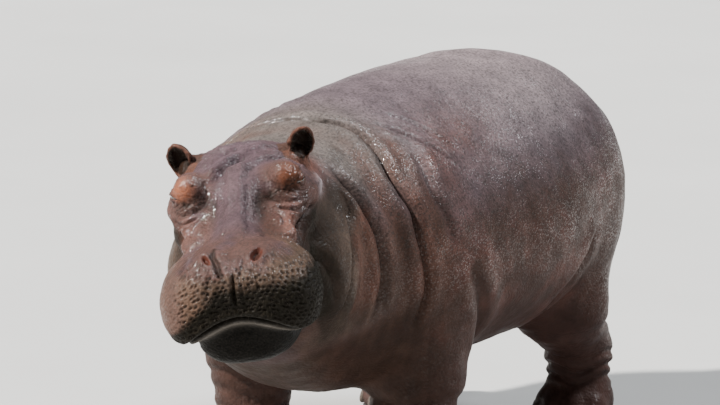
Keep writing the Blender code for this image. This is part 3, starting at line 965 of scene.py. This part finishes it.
# The first two here, a tan and a pink, are painted light on the muzzle's right side.
MUZZLE_LIT_TAN, MUZZLE_LIT_PINK, LIP_GREY, NOSTRIL_RED = tones("513f34 59453e 5c5852 4a271e")
# The second here is painted shade in the hollows beside the bridge. The last, pale grey, is a painted
# highlight.
BRIDGE_GREY, HOLLOW_SHADE, PINK, KNOB_HIGHLIGHT = tones("4b3e44 34231e 6f4a3f b4abaf")
# The second here is the ears' hair and painted shade in their bowls.
EAR_BACK, EAR_BOWL_HAIR_AND_SHADE, EAR_RIM = tones("43302a 1f1109 5a3d33")
EYE_WHITE, EYE_BROWN, EYE_RIM, LID_ORANGE = tones("4a2a20 6b3c1c 241309 7a4932")

# Where the face is wettest: place, reach and how much.
WET_PLACES = (
    ((-70, -320, -30), (40, 90, 45), 1.1),
    ((-120, -100, 30), (60, 60, 40), 0.35),
    ((140, -350, -75), (30, 60, 35), 0.6),
    ((170, -420, -130), (50, 70, 50), 0.4),
    ((-140, -400, -90), (50, 100, 60), 0.9),
    ((100, -700, -125), (80, 50, 24), 0.3),
    ((-85, -695, -110), (50, 50, 30), 0.7),
    ((-20, -690, -95), (18, 60, 30), 1),
    ((15, -710, -115), (22, 60, 35), 1.2),
    ((0, -20, 50), (60, 30, 40), 0.35),
    ((155, -240, 30), (35, 40, 30), 0.8),
    ((-155, -240, 30), (40, 50, 30), 0.7),
)


def over(tint, colour, share):
    return tint + (colour - tint) * np.clip(share, 0, 1)[:, None]


def store(mesh, name, values):
    kind, field = ("FLOAT_COLOR", "color") if values.ndim == 2 else ("FLOAT", "value")
    layer = mesh.attributes.new(name, kind, "POINT")
    layer.data.foreach_set(field, values.astype(np.float32).ravel())


def store_tint(mesh, tint):
    store(mesh, "tint", np.column_stack([tint, np.ones(len(tint))]))


class Paint:
    """The skin's points, the noises that break up its colours, and the colours laid over one another."""

    def __init__(self, skin, moves):
        self.points, self.outward, self.moves = coordinates(skin.data), normals(skin.data), moves
        self.head = in_head(self.points)
        scales = ((3.2, 8), (8, 9), (21, 10), (13, 11), (34, 12))
        noises = [noise_at(self.points, scale, seed) for scale, seed in scales]
        self.blotch = noises[0] * 0.5 + noises[1] * 0.35 + noises[2] * 0.2
        self.patch = noises[3] * 0.6 + noises[4] * 0.4
        self.streak = smooth(-0.1, 0.5, noise_at(self.points, (34, 34, 5), 16))
        self.rise = self.points[:, 2] + 0.10 * self.blotch
        self.face = smooth(0.18, 0.0, self.head[:, 1]) * smooth(-0.66, -0.58, self.head[:, 2])
        self.tint = np.tile(FLANK, (len(self.points), 1))

    def lay(self, colour, share):
        self.tint = over(self.tint, colour, share)

    def shade(self, factor, share):
        self.lay(self.tint * factor, share)

    def spot(self, colour, at, reach, share, paired=True):
        """A soft spot of the head, in millimetres."""
        self.lay(colour, (near_pair if paired else near)(self.head, metres(at), metres(reach)) * share)

    def body_spot(self, colour, at, reach, share):
        self.lay(colour, near_pair(self.points, metres(at), metres(reach)) * share)


def paint_body(p):
    """The trunk and the neck. Returns how close each point is to the crest of the neck's main fold."""
    blotch, patch, rise = p.blotch, p.patch, p.rise
    y = p.points[:, 1]
    p.lay(FLANK_RED, smooth(-0.1, 0.5, blotch + 0.5 * patch) * 0.7)
    p.lay(BACK, smooth(0.88, 1.20, rise + 0.08 * patch))
    # Painted sheen of water: paler along the top of the back, towards the tail.
    p.lay(BACK_SHEEN, smooth(0.0, 0.7, y) * smooth(1.05, 1.25, rise + 0.05 * patch) * 0.7)
    p.lay(BELLY, smooth(0.62, 0.40, rise) * 0.8)
    ahead = smooth(-0.15, -0.45, y)
    neck = ahead * (1 - p.face)
    p.lay(NECK_TOP, neck * smooth(1.04, 1.18, rise) * 0.9)
    p.lay(OLIVE_AND_SHADE, neck * smooth(0.05, 0.6, patch - 0.4 * blotch) * 0.45)
    gap, _, behind = from_route(p.points, p.outward, through(MAIN_FOLD), 0.25)
    band = smooth(-0.02, 0.02, behind) * smooth(0.15, 0.08, gap)
    band += smooth(0.02, -0.02, behind) * hump(gap, 0.085, 0.05)
    middle = smooth(1.32, 1.18, rise) * smooth(0.60, 0.80, rise)
    p.lay(FOLD_BAND, band * middle * (0.8 + 0.5 * patch))
    p.lay(JOWL_BROWN, smooth(-0.72, -0.80, y) * neck * smooth(1.17, 1.02, rise) * 0.9)
    p.lay(CHEST_BROWN_AND_SHADE, ahead * smooth(0.90, 0.68, rise) * 0.85)
    p.shade(1.5, neck * p.streak * smooth(1.20, 1.05, rise) * 0.5)
    return smooth(0.06, 0.02, gap) * smooth(-0.01, 0.01, behind) * smooth(1.12, 1.20, rise)


def paint_cheeks(p):
    """The top and sides of the head and the neck's bands behind it, with painted shade and light on them."""
    blotch, patch, rise, face = p.blotch, p.patch, p.rise, p.face
    x, y, z = p.head.T
    p.lay(MUZZLE_TOP, face)
    p.lay(BRIDGE_GREY, face * smooth(0.0, 0.6, patch) * 0.7)
    p.lay(BRIDGE_GREY, face * smooth(0.10, 0.05, np.abs(x)) * smooth(-0.60, -0.45, y) * 0.8)
    p.lay(BRIDGE_GREY, face * smooth(-0.22, -0.14, y) * smooth(-0.06, 0.0, z) * 0.8)
    p.lay(JOWL_BROWN, face * smooth(-0.30, -0.10, y) * smooth(-0.10, -0.16, z))
    fold_height = -0.105 + 0.45 * np.minimum(y + 0.29, 0)
    cheek = smooth(0.155, 0.18, np.abs(x)) * smooth(-0.50, -0.44, y) * smooth(0.0, 0.02, fold_height - z)
    # Painted shade, dark olive, in the cleft between the cheek and the jowl.
    p.lay(OLIVE_AND_SHADE, face * cheek * smooth(-0.06, -0.22, y) * (0.95 + 0.3 * patch))
    # Painted light: the jowl's lower part made lighter.
    p.shade(1.8, face * smooth(-0.20, -0.28, z) * smooth(-0.28, -0.16, y) * smooth(-0.50, -0.40, z))
    # Painted shade, dark olive, low on the cheek.
    low_cheek = smooth(-0.24, -0.30, z) * smooth(-0.46, -0.42, y) * smooth(-0.16, -0.26, y)
    p.lay(OLIVE_AND_SHADE, face * low_cheek * 0.8)
    wide, along, high = p.points.T
    edge = -0.635 - 0.9 * np.clip(1.10 - high, 0, 0.11)
    band = smooth(edge - 0.015, edge + 0.02, along) * smooth(-0.57, -0.60, along)
    band *= smooth(1.13, 1.06, rise) * smooth(0.70, 0.82, rise) * smooth(0.2, 0.3, np.abs(wide))
    p.lay(LOW_BAND, band * (0.8 + 0.3 * patch))
    # Dark olive on the neck, and painted shade in front of the lower main fold.
    p.body_spot(OLIVE_AND_SHADE, (290, -660, 1140), (60, 50, 50), 0.4)
    p.body_spot(OLIVE_AND_SHADE, (410, -480, 930), (100, 50, 140), 0.6 + 0.4 * patch)
    red = near_pair(p.points, (0.35, 0.02, 1.20), (0.12, 0.24, 0.14))
    red += near_pair(p.points, (0.42, -0.20, 1.10), (0.08, 0.08, 0.14))
    p.lay(FLANK_RED, red * (0.55 + 0.5 * patch + 0.3 * blotch))
    # Painted shade behind the main fold, on the shoulder.
    p.body_spot(CHEST_BROWN_AND_SHADE, (460, -330, 970), (80, 60, 90), 0.6)
    # Painted shade in the cleft behind the cheek.
    p.spot(JAW_DARK_AND_SHADE, (200, -335, -145), (40, 75, 50), 0.95)
    p.shade(1.6, face * smooth(-0.20, -0.08, y) * smooth(-0.08, -0.14, z) * p.streak * 0.5)


def paint_muzzle(p):
    """The muzzle: tan above, painted light on its pink right side, and black below, with painted shade, like
    the lips and jaw.
    """
    x, y, z = p.head.T
    front = p.face * smooth(-0.40, -0.53, y)
    p.shade(0.8, front)
    # Darker low on the muzzle, set higher on the left side as painted shade.
    p.lay(MUZZLE_MID, front * smooth(-0.10, -0.14, z + 0.03 * p.patch - 0.10 * x))
    # Painted light: a lighter tan low on the right side.
    p.lay(MUZZLE_LIT_TAN, front * smooth(-0.08, -0.13, x) * smooth(-0.11, -0.15, z) * 0.8)
    # Painted light: pink, lighter on the outer right side.
    p.lay(MUZZLE_LIT_PINK, front * smooth(-0.15, -0.19, x + 0.02 * p.patch) * 0.8)
    # Painted shade under the muzzle, over dark skin; it reaches lower on the lit right side.
    black = z + 0.160 + 0.8 * np.maximum(-x - 0.05, 0) + 0.02 * p.patch
    p.lay(MUZZLE_DARK_AND_SHADE, front * smooth(0.016, -0.016, black) * 0.97)
    # Painted shade over the dark wet lower jaw, below the mouth's line.
    below = mouth_height(x) - z
    p.lay(JAW_DARK_AND_SHADE, p.face * smooth(-0.006, 0.006, below) * smooth(-0.22, -0.32, y))
    p.lay(LIP_GREY, p.face * hump(below, 0.019, 0.012) * smooth(-0.60, -0.68, y) * 0.9)


def paint_eyes(p):
    """Painted shade beside the bridge, and the orange bulbs round the eyes, lit and shaded in paint. Returns
    where the bulbs are.
    """
    patch = p.patch
    x, _, z = p.head.T
    # Painted shade in the hollows beside the bridge, on the left side only.
    p.spot(HOLLOW_SHADE, (80, -340, -35), (30, 100, 45), 0.85, False)
    p.spot(HOLLOW_SHADE, (115, -370, -65), (40, 80, 50), 0.4 + 0.5 * patch, False)
    p.spot(HOLLOW_SHADE, (105, -420, -84), (40, 60, 40), 0.8, False)
    bulb = smooth(0.25, 0.70, near_pair(p.head, (0.160, -0.240, 0.0), (0.045, 0.052, 0.047)))
    p.lay(LID_ORANGE, bulb * (0.9 + 0.3 * patch))
    # Painted shade on the left bulb, painted light on the right one.
    p.shade(0.62, bulb * smooth(0.0, 0.1, x))
    p.shade(1.3, bulb * smooth(0.0, -0.1, x))
    # Painted shade on the lower half of each bulb, reaching higher on the left one, broken by dark specks.
    specks = smooth(-0.25, 0.35, noise_at(p.points, 120, 15))
    under = smooth(0.0, -0.03, z - 0.25 * (np.abs(x) - 0.15) - 0.014 * np.sign(x))
    p.lay(SHADE_AND_PUPIL_DARK, bulb * under * (0.45 + 0.55 * specks))
    # Painted shade under and inside each bulb, speckled.
    p.spot(SHADE_AND_PUPIL_DARK, (-150, -276, -36), (45, 26, 24), 0.6 + 0.4 * specks, False)
    p.spot(SHADE_AND_PUPIL_DARK, (146, -272, -32), (34, 26, 20), 0.55 + 0.45 * specks, False)
    p.spot(SHADE_AND_PUPIL_DARK, (112, -285, -28), (20, 26, 32), 0.35 + 0.55 * specks)
    p.spot(PINK * 1.3, (209, 30, -50), (35, 70, 45), 0.95)
    # A painted highlight on each cheekbone's knob.
    p.spot(KNOB_HIGHLIGHT, (230, -62, -96), (30, 55, 24), 1)
    p.spot(PINK, (165, -370, -110), (45, 80, 50), 0.5 + 0.7 * patch)
    return bulb


def paint_folds(p):
    """The nostrils and the pits, with painted shade deep in folds, nostrils and pits and painted light on
    what stands out.
    """
    away, _, _ = from_route(p.head, p.outward @ HEAD_TURN, through(NOSTRIL_CREASE))
    # Painted shade along the crease from the right nostril down to the lip.
    p.lay(SHADE_AND_PUPIL_DARK, smooth(0.010, 0.0, away) * 0.85)
    open_share = nostril_share(p.head)
    p.lay(NOSTRIL_RED, smooth(1.15, 0.85, open_share) * 0.9)
    # Painted shade deep in the nostrils.
    p.lay(SHADE_AND_PUPIL_DARK, smooth(0.75, 0.3, open_share) * 0.4)
    # Painted shade in creases and hollows deeper than about 9 mm, and painted light on what stands out.
    p.lay(SHADE_AND_PUPIL_DARK, smooth(-0.009, -0.022, p.moves) * 0.75)
    p.shade(1.3, smooth(0.003, 0.010, p.moves) * 0.5)
    _, _, off = pit_lattice(p.head)
    lip = pitted(p.head)
    # Painted shade in the pits, and painted light round their rims.
    p.lay(SHADE_AND_PUPIL_DARK, lip * hump(off, 0, 0.0040) * 0.45)
    p.shade(1.5, lip * hump(off, 0.0078, 0.0026) * 0.5)
    p.lay(SOLE, smooth(0.045, 0.0, p.points[:, 2]) * 0.8)


def paint_ears(p):
    """Brown backs, pinkish rims, and bowls dark with hair and painted shade."""
    for side, _ in SIDES:
        own = in_ear(p.head, side)
        size = np.hypot(own[:, 0], own[:, 2])
        share = (np.abs(own) < 1.5).all(1) * smooth(-1.45, -0.9, own[:, 2])
        p.lay(EAR_BACK, share)
        p.lay(EAR_RIM, share * smooth(0.70, 0.80, size) * smooth(0.2, 0.0, own[:, 1]))
        # Hair and painted shade darken the bowl.
        p.lay(EAR_BOWL_HAIR_AND_SHADE, share * smooth(0.86, 0.76, size) * smooth(0.92, 0.80, own[:, 1] + size * size))


def painted(skin, moves):
    """Stores the skin's colour, painted light and shade included, and how wet, speckled and rugged it is, on
    its vertices.
    """
    p = Paint(skin, moves)
    crest = paint_body(p)
    paint_cheeks(p)
    paint_muzzle(p)
    bulb = paint_eyes(p)
    paint_folds(p)
    paint_ears(p)
    wet = 0.20 - 0.05 * p.face + 0.22 * p.patch + 0.9 * crest
    for at, reach, share in WET_PLACES:
        wet += share * near(p.head, metres(at), metres(reach))
    luminous = p.tint @ np.array((0.25, 0.65, 0.10))
    wet = wet * smooth(0.006, 0.05, luminous) * smooth(-0.6, 0.1, p.outward[:, 2])
    bare = np.maximum(bulb, smooth(1.8, 1.2, nostril_share(p.head)))
    speck = smooth(0.70, 1.0, p.rise) * (1 - 0.35 * p.face) * (1 - bare)
    store_tint(skin.data, np.clip(p.tint, 0, 1))
    for name, values in (("wet", wet), ("speck", speck), ("rugged", 0.6 + 0.4 * p.face - 0.85 * bare)):
        store(skin.data, name, np.clip(values, 0, 1))


# ---------------------------------------------------------------- materials


class Finish:
    """One material, built node by node."""

    def __init__(self, name):
        self.material = bpy.data.materials.new(name)
        self.material.use_nodes = True
        self.tree = self.material.node_tree
        self.shader = self.tree.nodes["Principled BSDF"]
        self.where = self.node("TexCoord").outputs["Object"]

    def node(self, kind, inputs=None, **settings):
        made = self.tree.nodes.new("ShaderNode" + kind)
        for setting, value in settings.items():
            setattr(made, setting, value)
        for key, value in (inputs or {}).items():
            self.feed(made.inputs[key], value)
        return made

    def feed(self, socket, value):
        if isinstance(value, bpy.types.NodeSocket):
            self.tree.links.new(value, socket)
        else:
            socket.default_value = value

    def surface(self, **values):
        for key, value in values.items():
            self.feed(self.shader.inputs[key.replace("_", " ")], value)

    def attribute(self, name, output="Fac"):
        return self.node("Attribute", attribute_name=name).outputs[output]

    def noise(self, scale, detail=4.0, rough=0.55, where=None):
        inputs = {"Scale": scale, "Detail": detail, "Roughness": rough, "Vector": where or self.where}
        return self.node("TexNoise", inputs).outputs["Fac"]

    def cells(self, scale, feature):
        made = self.node("TexVoronoi", {"Scale": scale, "Vector": self.where}, feature=feature)
        return made.outputs["Distance"]

    def math(self, operation, *values):
        return self.node("Math", dict(enumerate(values)), operation=operation).outputs[0]

    def ranged(self, value, low, high, to_low=0.0, to_high=1.0):
        inputs = {"Value": value, "From Min": low, "From Max": high, "To Min": to_low, "To Max": to_high}
        return self.node("MapRange", inputs, clamp=True).outputs["Result"]

    def blend(self, share, first, second, kind="MIX"):
        made = self.node("Mix", {0: share, 6: first, 7: second}, data_type="RGBA", blend_type=kind)
        return made.outputs[2]

    def bump(self, height, strength, distance, under=None):
        inputs = {"Height": height, "Strength": strength, "Distance": distance}
        if under is not None:
            inputs["Normal"] = under
        return self.node("Bump", inputs).outputs["Normal"]


def hide_finish():
    """Wet hide: mottled, flecked and pebbled, under a thin film of water with small domed beads in it."""
    f = Finish("hide")
    tint = f.attribute("tint", "Color")
    wet, speck, rugged = (f.attribute(name) for name in ("wet", "speck", "rugged"))
    mottle = f.ranged(f.noise(11, 6, 0.65), 0.3, 0.7)
    pale = f.blend(1.0, tint, (1.28, 1.22, 1.20, 1), "MULTIPLY")
    dark = f.blend(1.0, tint, (0.70, 0.68, 0.68, 1), "MULTIPLY")
    colour = f.blend(mottle, dark, pale)
    flecks = f.math("MULTIPLY", f.ranged(f.noise(105, 4, 0.65), 0.47, 0.62), speck)
    colour = f.blend(f.math("MULTIPLY", flecks, 0.65), colour, (0.022, 0.019, 0.017, 1))
    grain = f.ranged(f.noise(190, 2, 0.5), 0.40, 0.62)
    colour = f.blend(f.math("MULTIPLY", grain, 0.22), colour, (0.03, 0.025, 0.02, 1))
    broad = f.bump(f.noise(38, 6, 0.6), f.math("MULTIPLY", rugged, 0.4), 0.005)
    normal = f.bump(f.cells(115, "SMOOTH_F1"), rugged, -0.0022, broad)
    normal = f.bump(f.noise(210, 3, 0.6), 0.4, 0.0012, normal)
    rough = f.ranged(f.noise(14, 5, 0.65), 0.35, 0.65, 0.42, 0.60)
    reach = f.math("MULTIPLY", f.cells(112, "F1"), 2.0)
    beads = f.math("MAXIMUM", f.math("SUBTRACT", 1.0, f.math("MULTIPLY", reach, reach)), 0.0)
    film = f.math("MULTIPLY", wet, f.math("ADD", 0.08, f.math("MULTIPLY", beads, 3.2)))
    f.surface(Base_Color=colour, Roughness=rough, Normal=normal, Coat_Weight=f.math("MINIMUM", film, 1.0))
    f.surface(Coat_Normal=f.bump(beads, 1.0, 0.0010, broad), Coat_Roughness=0.06, Coat_IOR=1.5)
    f.surface(IOR=1.40, Specular_IOR_Level=0.07)
    return f.material


def eye_finish():
    f = Finish("eye")
    fleck = f.ranged(f.noise(420, 3, 0.6), 0.35, 0.7, 0.0, 0.35)
    colour = f.blend(fleck, f.attribute("tint", "Color"), (0.02, 0.01, 0.006, 1))
    f.surface(Base_Color=colour, Roughness=0.12, Coat_Weight=1.0, Coat_Roughness=0.02)
    return f.material


def nail_finish():
    """Worn horn with growth lines and grit."""
    f = Finish("nail")
    stretched = f.node("Mapping", {"Vector": f.where, "Scale": (1.0, 1.0, 7.0)}).outputs["Vector"]
    lines = f.noise(60, 5, 0.6, stretched)
    colour = f.blend(f.ranged(lines, 0.3, 0.7), (0.030, 0.023, 0.019, 1), (0.09, 0.07, 0.055, 1))
    rough = f.ranged(f.noise(90, 4), 0.3, 0.7, 0.45, 0.7)
    f.surface(Base_Color=colour, Roughness=rough, Normal=f.bump(lines, 0.5, 0.0015), Specular_IOR_Level=0.25)
    return f.material


def bristle_finish():
    f = Finish("bristle")
    colour = f.blend(f.noise(300, 2), (0.008, 0.006, 0.005, 1), (0.035, 0.025, 0.018, 1))
    f.surface(Base_Color=colour, Roughness=0.6, Specular_IOR_Level=0.2)
    return f.material


def floor_finish():
    f = Finish("studio_floor")
    colour = f.blend(f.ranged(f.noise(0.7, 4), 0.3, 0.7), (0.42, 0.42, 0.41, 1), (0.45, 0.45, 0.44, 1))
    f.surface(Base_Color=colour, Roughness=0.7)
    return f.material


# ---------------------------------------------------------------- eyes, toenails and bristles


def given(piece, material, slot, *nodes):
    """Hands a piece its material and its body, and hides the CAD nodes that it stands for. Its slot is not
    used.
    """
    piece.data.materials.clear()
    piece.data.materials.append(material)
    piece.data.shade_smooth()
    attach(piece, "root")
    if nodes:
        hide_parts(*nodes)
    return piece


IRIS, PUPIL, CORNEA = 26, 10, 30  # half-widths in degrees, from the middle of the look
CORNEA_RISE = 0.0012


def eyeball(side, hand, material):
    """A dark brown eye with a level oval pupil and a slightly raised cornea."""
    bm = bmesh.new()
    bmesh.ops.create_uvsphere(bm, u_segments=72, v_segments=48, radius=EYE_RADIUS)
    look = Vector(on_side(side, LOOK))
    bm.transform(look.to_track_quat("Z", "Y").to_matrix().to_4x4())
    ball = from_bmesh("eyeball_" + hand, bm)
    points = coordinates(ball.data)
    turned = points / np.linalg.norm(points, axis=1)[:, None]
    away = np.degrees(np.arccos(np.clip(turned @ np.array(look), -1, 1)))
    rise = np.degrees(np.arcsin(np.clip(turned[:, 2] - look.z, -1, 1)))
    points = points + turned * (CORNEA_RISE * smooth(CORNEA, 0, away))[:, None]
    place(ball.data, into(HEAD_FRAME, points + np.array(on_side(side, EYE_PLACE))))
    tint = over(np.tile(EYE_WHITE, (len(points), 1)), EYE_RIM, hump(away, IRIS, 4))
    tint = over(tint, EYE_BROWN, smooth(IRIS, IRIS - 3, away))
    tint = over(tint, SHADE_AND_PUPIL_DARK * 0.1, smooth(PUPIL, PUPIL - 2, np.hypot(away * 0.62, rise * 1.1)))
    store_tint(ball.data, tint)
    return given(ball, material, "eye", "eye_" + hand)


def toenail(leg_name, number, foot, reach, material):
    """A blunt hoof-like nail: a rounded plate, worn flat below."""
    bm = bmesh.new()
    bmesh.ops.create_uvsphere(bm, u_segments=32, v_segments=20, radius=1)
    for vertex in bm.verts:
        x, y, z = vertex.co
        squared = (abs(x) ** 2.6 + abs(z) ** 2.6 + abs(y) ** 2.6) ** (-1 / 2.6)
        ridged = 1 + 0.012 * math.sin(38 * z)
        vertex.co = Vector((x, y, max(z, -0.9))) * squared * ridged
        vertex.co.z = max(vertex.co.z, -0.96)
    outwards = reach.normalized()
    turn = Matrix.Rotation(math.atan2(outwards.x, -outwards.y), 4, "Z")
    spot = Matrix.Translation(SHIFT + foot + reach + outwards * 0.043 + Vector((0, 0, 0.034)))
    bm.transform(spot @ turn @ rotation((-14, 0, 0)).to_4x4() @ Matrix.Diagonal((*NAIL_RADII * 0.99, 1)))
    nail = from_bmesh(f"{leg_name}_toenail_{number}", bm)
    return given(nail, material, "nail", f"{leg_name}_nail_{number}")


def toenails(material):
    for leg_name in LEGS:
        foot, radius = foot_place(leg_name)
        for number, reach in enumerate(toe_reaches(radius), 1):
            toenail(leg_name, number, foot, reach, material)


class Hair(NamedTuple):
    """One bristle: where it grows, how it starts and bends, its length, its root's radius, and which way the
    skin faces there."""

    root: np.ndarray
    start: np.ndarray
    bend: np.ndarray
    length: float
    radius: float
    outward: np.ndarray


BRISTLE_SIDES, BRISTLE_STEPS = 4, 5
BRISTLE_PATCH = 0.003  # how wide each one is on the unwrap
BRISTLE_TAPER = 0.85


def bristle_net():
    """The faces of one bristle, and where their corners lie round the middle of its patch."""
    faces, corners = [], []
    for step in range(BRISTLE_STEPS - 1):
        for number in range(BRISTLE_SIDES):
            square = ((step, number), (step, number + 1), (step + 1, number + 1), (step + 1, number))
            faces.append([a * BRISTLE_SIDES + b % BRISTLE_SIDES for a, b in square])
            corners += [(b / BRISTLE_SIDES - 0.5, a / BRISTLE_STEPS - 0.5) for a, b in square]
    tip = (BRISTLE_STEPS - 1) * BRISTLE_SIDES
    faces += [list(range(BRISTLE_SIDES))[::-1], list(range(tip, tip + BRISTLE_SIDES))]
    return np.array(faces), np.array(corners + 2 * BRISTLE_SIDES * [(0, 0)]) * BRISTLE_PATCH


def bristles(name, hairs, atlas, material):
    """Joins tapered bristles into one mesh, each with a small patch of the unwrap at its root's place."""
    points = []
    for hair in hairs:
        across = np.cross(hair.start, (0.31, 0.17, 0.93))
        across /= np.linalg.norm(across)
        up = np.cross(hair.start, across)
        for share in np.linspace(0, 1, BRISTLE_STEPS):
            middle = hair.root + (hair.start + hair.bend * share) * hair.length * share
            for angle in np.linspace(0, 2 * math.pi, BRISTLE_SIDES, endpoint=False):
                spoke = across * math.cos(angle) + up * math.sin(angle)
                points.append(middle + spoke * hair.radius * (1 - BRISTLE_TAPER * share))
    net, corners = bristle_net()
    faces = np.concatenate([net + number * BRISTLE_SIDES * BRISTLE_STEPS for number in range(len(hairs))])
    roots, outward = (np.array([getattr(hair, field) for hair in hairs]) for field in ("root", "outward"))
    patches = atlas.places(roots, outward)
    mesh = bpy.data.meshes.new(name)
    mesh.from_pydata(points, [], faces.tolist())
    places = (patches[:, None] + corners).astype(np.float32)
    mesh.uv_layers.new(name="OFBake").data.foreach_set("uv", places.ravel())
    return given(new_object(name, mesh), material, "hide")


def grown(root, outward, lean, bend, lengths, radius, sunk, chance):
    """A bristle that leans this way, of a length between two, with its root sunk in the skin."""
    lean = lean / np.linalg.norm(lean)
    least, more = lengths
    return Hair(root - sunk * lean, lean, bend, least + more * chance.random(), radius, outward)


def lip_hairs(points, outward, chance):
    """Up to two stiff hairs from each pit of the upper lip."""
    head = in_head(points)
    row, column, off = pit_lattice(head)
    chosen = np.flatnonzero((pitted(head) > 0.5) & (off < 0.004))
    key = row[chosen] * 1000 + column[chosen]
    order = np.lexsort((off[chosen], key))
    firsts = order[np.unique(key[order], return_index=True)[1]]
    down = np.array(HEAD_FRAME.to_3x3() @ Vector((0, -0.2, -1)))
    hairs = []
    for vertex in chosen[firsts]:
        for _ in range(chance.integers(0, 3)):
            lean = outward[vertex] + 0.35 * chance.normal(size=3) + 0.3 * down
            spot = points[vertex], outward[vertex]
            hairs.append(grown(*spot, lean, 0.35 * down, (0.008, 0.012), 0.0005, 0.002, chance))
    return hairs


def tail_hairs(points, outward, chance, count=240):
    """Short wiry bristles round the end of the tail."""
    own = points - np.array(SHIFT)
    low = np.flatnonzero((own[:, 1] > 1.28) & (own[:, 2] < 0.70) & (np.abs(own[:, 0]) < 0.1))
    sag = np.array((0, 0, -0.15))
    hairs = []
    for vertex in chance.choice(low, count):
        lean = 0.45 * outward[vertex] + 0.2 * chance.normal(size=3) + np.array((0, 0.05, -1.0))
        spot = points[vertex], outward[vertex]
        hairs.append(grown(*spot, lean, sag, (0.03, 0.045), 0.0009, 0.003, chance))
    return hairs


def ear_hairs(points, outward, chance, count=150):
    """A fringe of short straight hairs inside each ear's rim."""
    head = in_head(points)
    hairs = []
    for side, _ in SIDES:
        own = in_ear(head, side)
        size = np.hypot(own[:, 0], own[:, 2])
        rim = np.flatnonzero((own[:, 1] < 0.12) & (size > 0.74) & (size < 0.9) & (own[:, 2] > -0.5))
        middle = np.array(HEAD_FRAME @ Vector(on_side(side, EAR_PLACE)))
        for vertex in chance.choice(rim, count):
            inward = middle - points[vertex]
            lean = inward / np.linalg.norm(inward) + 0.5 * outward[vertex] + 0.3 * chance.normal(size=3)
            spot = points[vertex], outward[vertex]
            hairs.append(grown(*spot, lean, np.zeros(3), (0.008, 0.012), 0.0006, 0.002, chance))
    return hairs


# ---------------------------------------------------------------- the studio and the camera

VIEW_AZIMUTH, VIEW_RISE = 28, 11  # degrees: from straight ahead towards its left, and upwards
VIEW_DISTANCE, VIEW_LENS = 12.0, 188.5
VIEW_AIM = Vector((0.254, 0.31, -0.169))  # from the poll


def towards(azimuth, rise):
    """The direction from the animal to something at this azimuth and height, in degrees."""
    a, e = math.radians(azimuth), math.radians(rise)
    return Vector((math.sin(a) * math.cos(e), -math.cos(a) * math.cos(e), math.sin(e)))


def aimed(obj, spot, target):
    obj.location = spot
    obj.rotation_mode = "QUATERNION"
    obj.rotation_quaternion = (target - spot).to_track_quat("-Z", "Y")


def lamp(name, azimuth, rise, width, power, colour=(1, 1, 1)):
    """A far lamp, this many degrees wide. Being far, it lights the floor evenly up to its horizon."""
    data = bpy.data.lights.new(name, "SUN")
    data.angle, data.energy, data.color = math.radians(width), power, colour
    aimed(new_object(name, data), towards(azimuth, rise) * 10, Vector((0, 0, 0)))


def studio():
    bm = bmesh.new()
    bmesh.ops.create_grid(bm, x_segments=8, y_segments=8, size=60)
    floor = from_bmesh("studio_floor", bm)
    floor.data.materials.append(floor_finish())
    lamp("key", -50, 48, 4.4, 12.4, (1.0, 0.97, 0.93))
    lamp("top", 140, 52, 19, 4.7, (0.93, 0.96, 1.0))
    lamp("side", 85, 40, 14, 0.17)
    world = bpy.data.worlds.new("studio")
    world.use_nodes = True
    background = world.node_tree.nodes["Background"]
    background.inputs["Color"].default_value = (0.86, 0.9, 0.95, 1)
    background.inputs["Strength"].default_value = 0.13
    bpy.context.scene.world = world


def camera():
    data = bpy.data.cameras.new("camera")
    data.lens, data.sensor_width, data.clip_end = VIEW_LENS, 36, 200
    made = new_object("camera", data)
    target = HEAD_FRAME.translation + VIEW_AIM
    aimed(made, target + towards(VIEW_AZIMUTH, VIEW_RISE) * VIEW_DISTANCE, target)
    bpy.context.scene.camera = made


def main():
    camera()
    studio()
    skin = with_ears(smooth_skin())
    atlas = unwrapped(skin)
    painted(skin, sculpted(skin))
    given(skin, hide_finish(), "hide", *FLESH_NODES, *LEGS)
    eye = eye_finish()
    for side, hand in SIDES:
        eyeball(side, hand, eye)
    toenails(nail_finish())
    points, outward = coordinates(skin.data), normals(skin.data)
    chance = np.random.default_rng(7)
    bristle = bristle_finish()
    tufts = ("lip_bristles", lip_hairs), ("tail_bristles", tail_hairs), ("ear_bristles", ear_hairs)
    for name, hairs_of in tufts:
        bristles(name, hairs_of(points, outward, chance), atlas, bristle)


main()
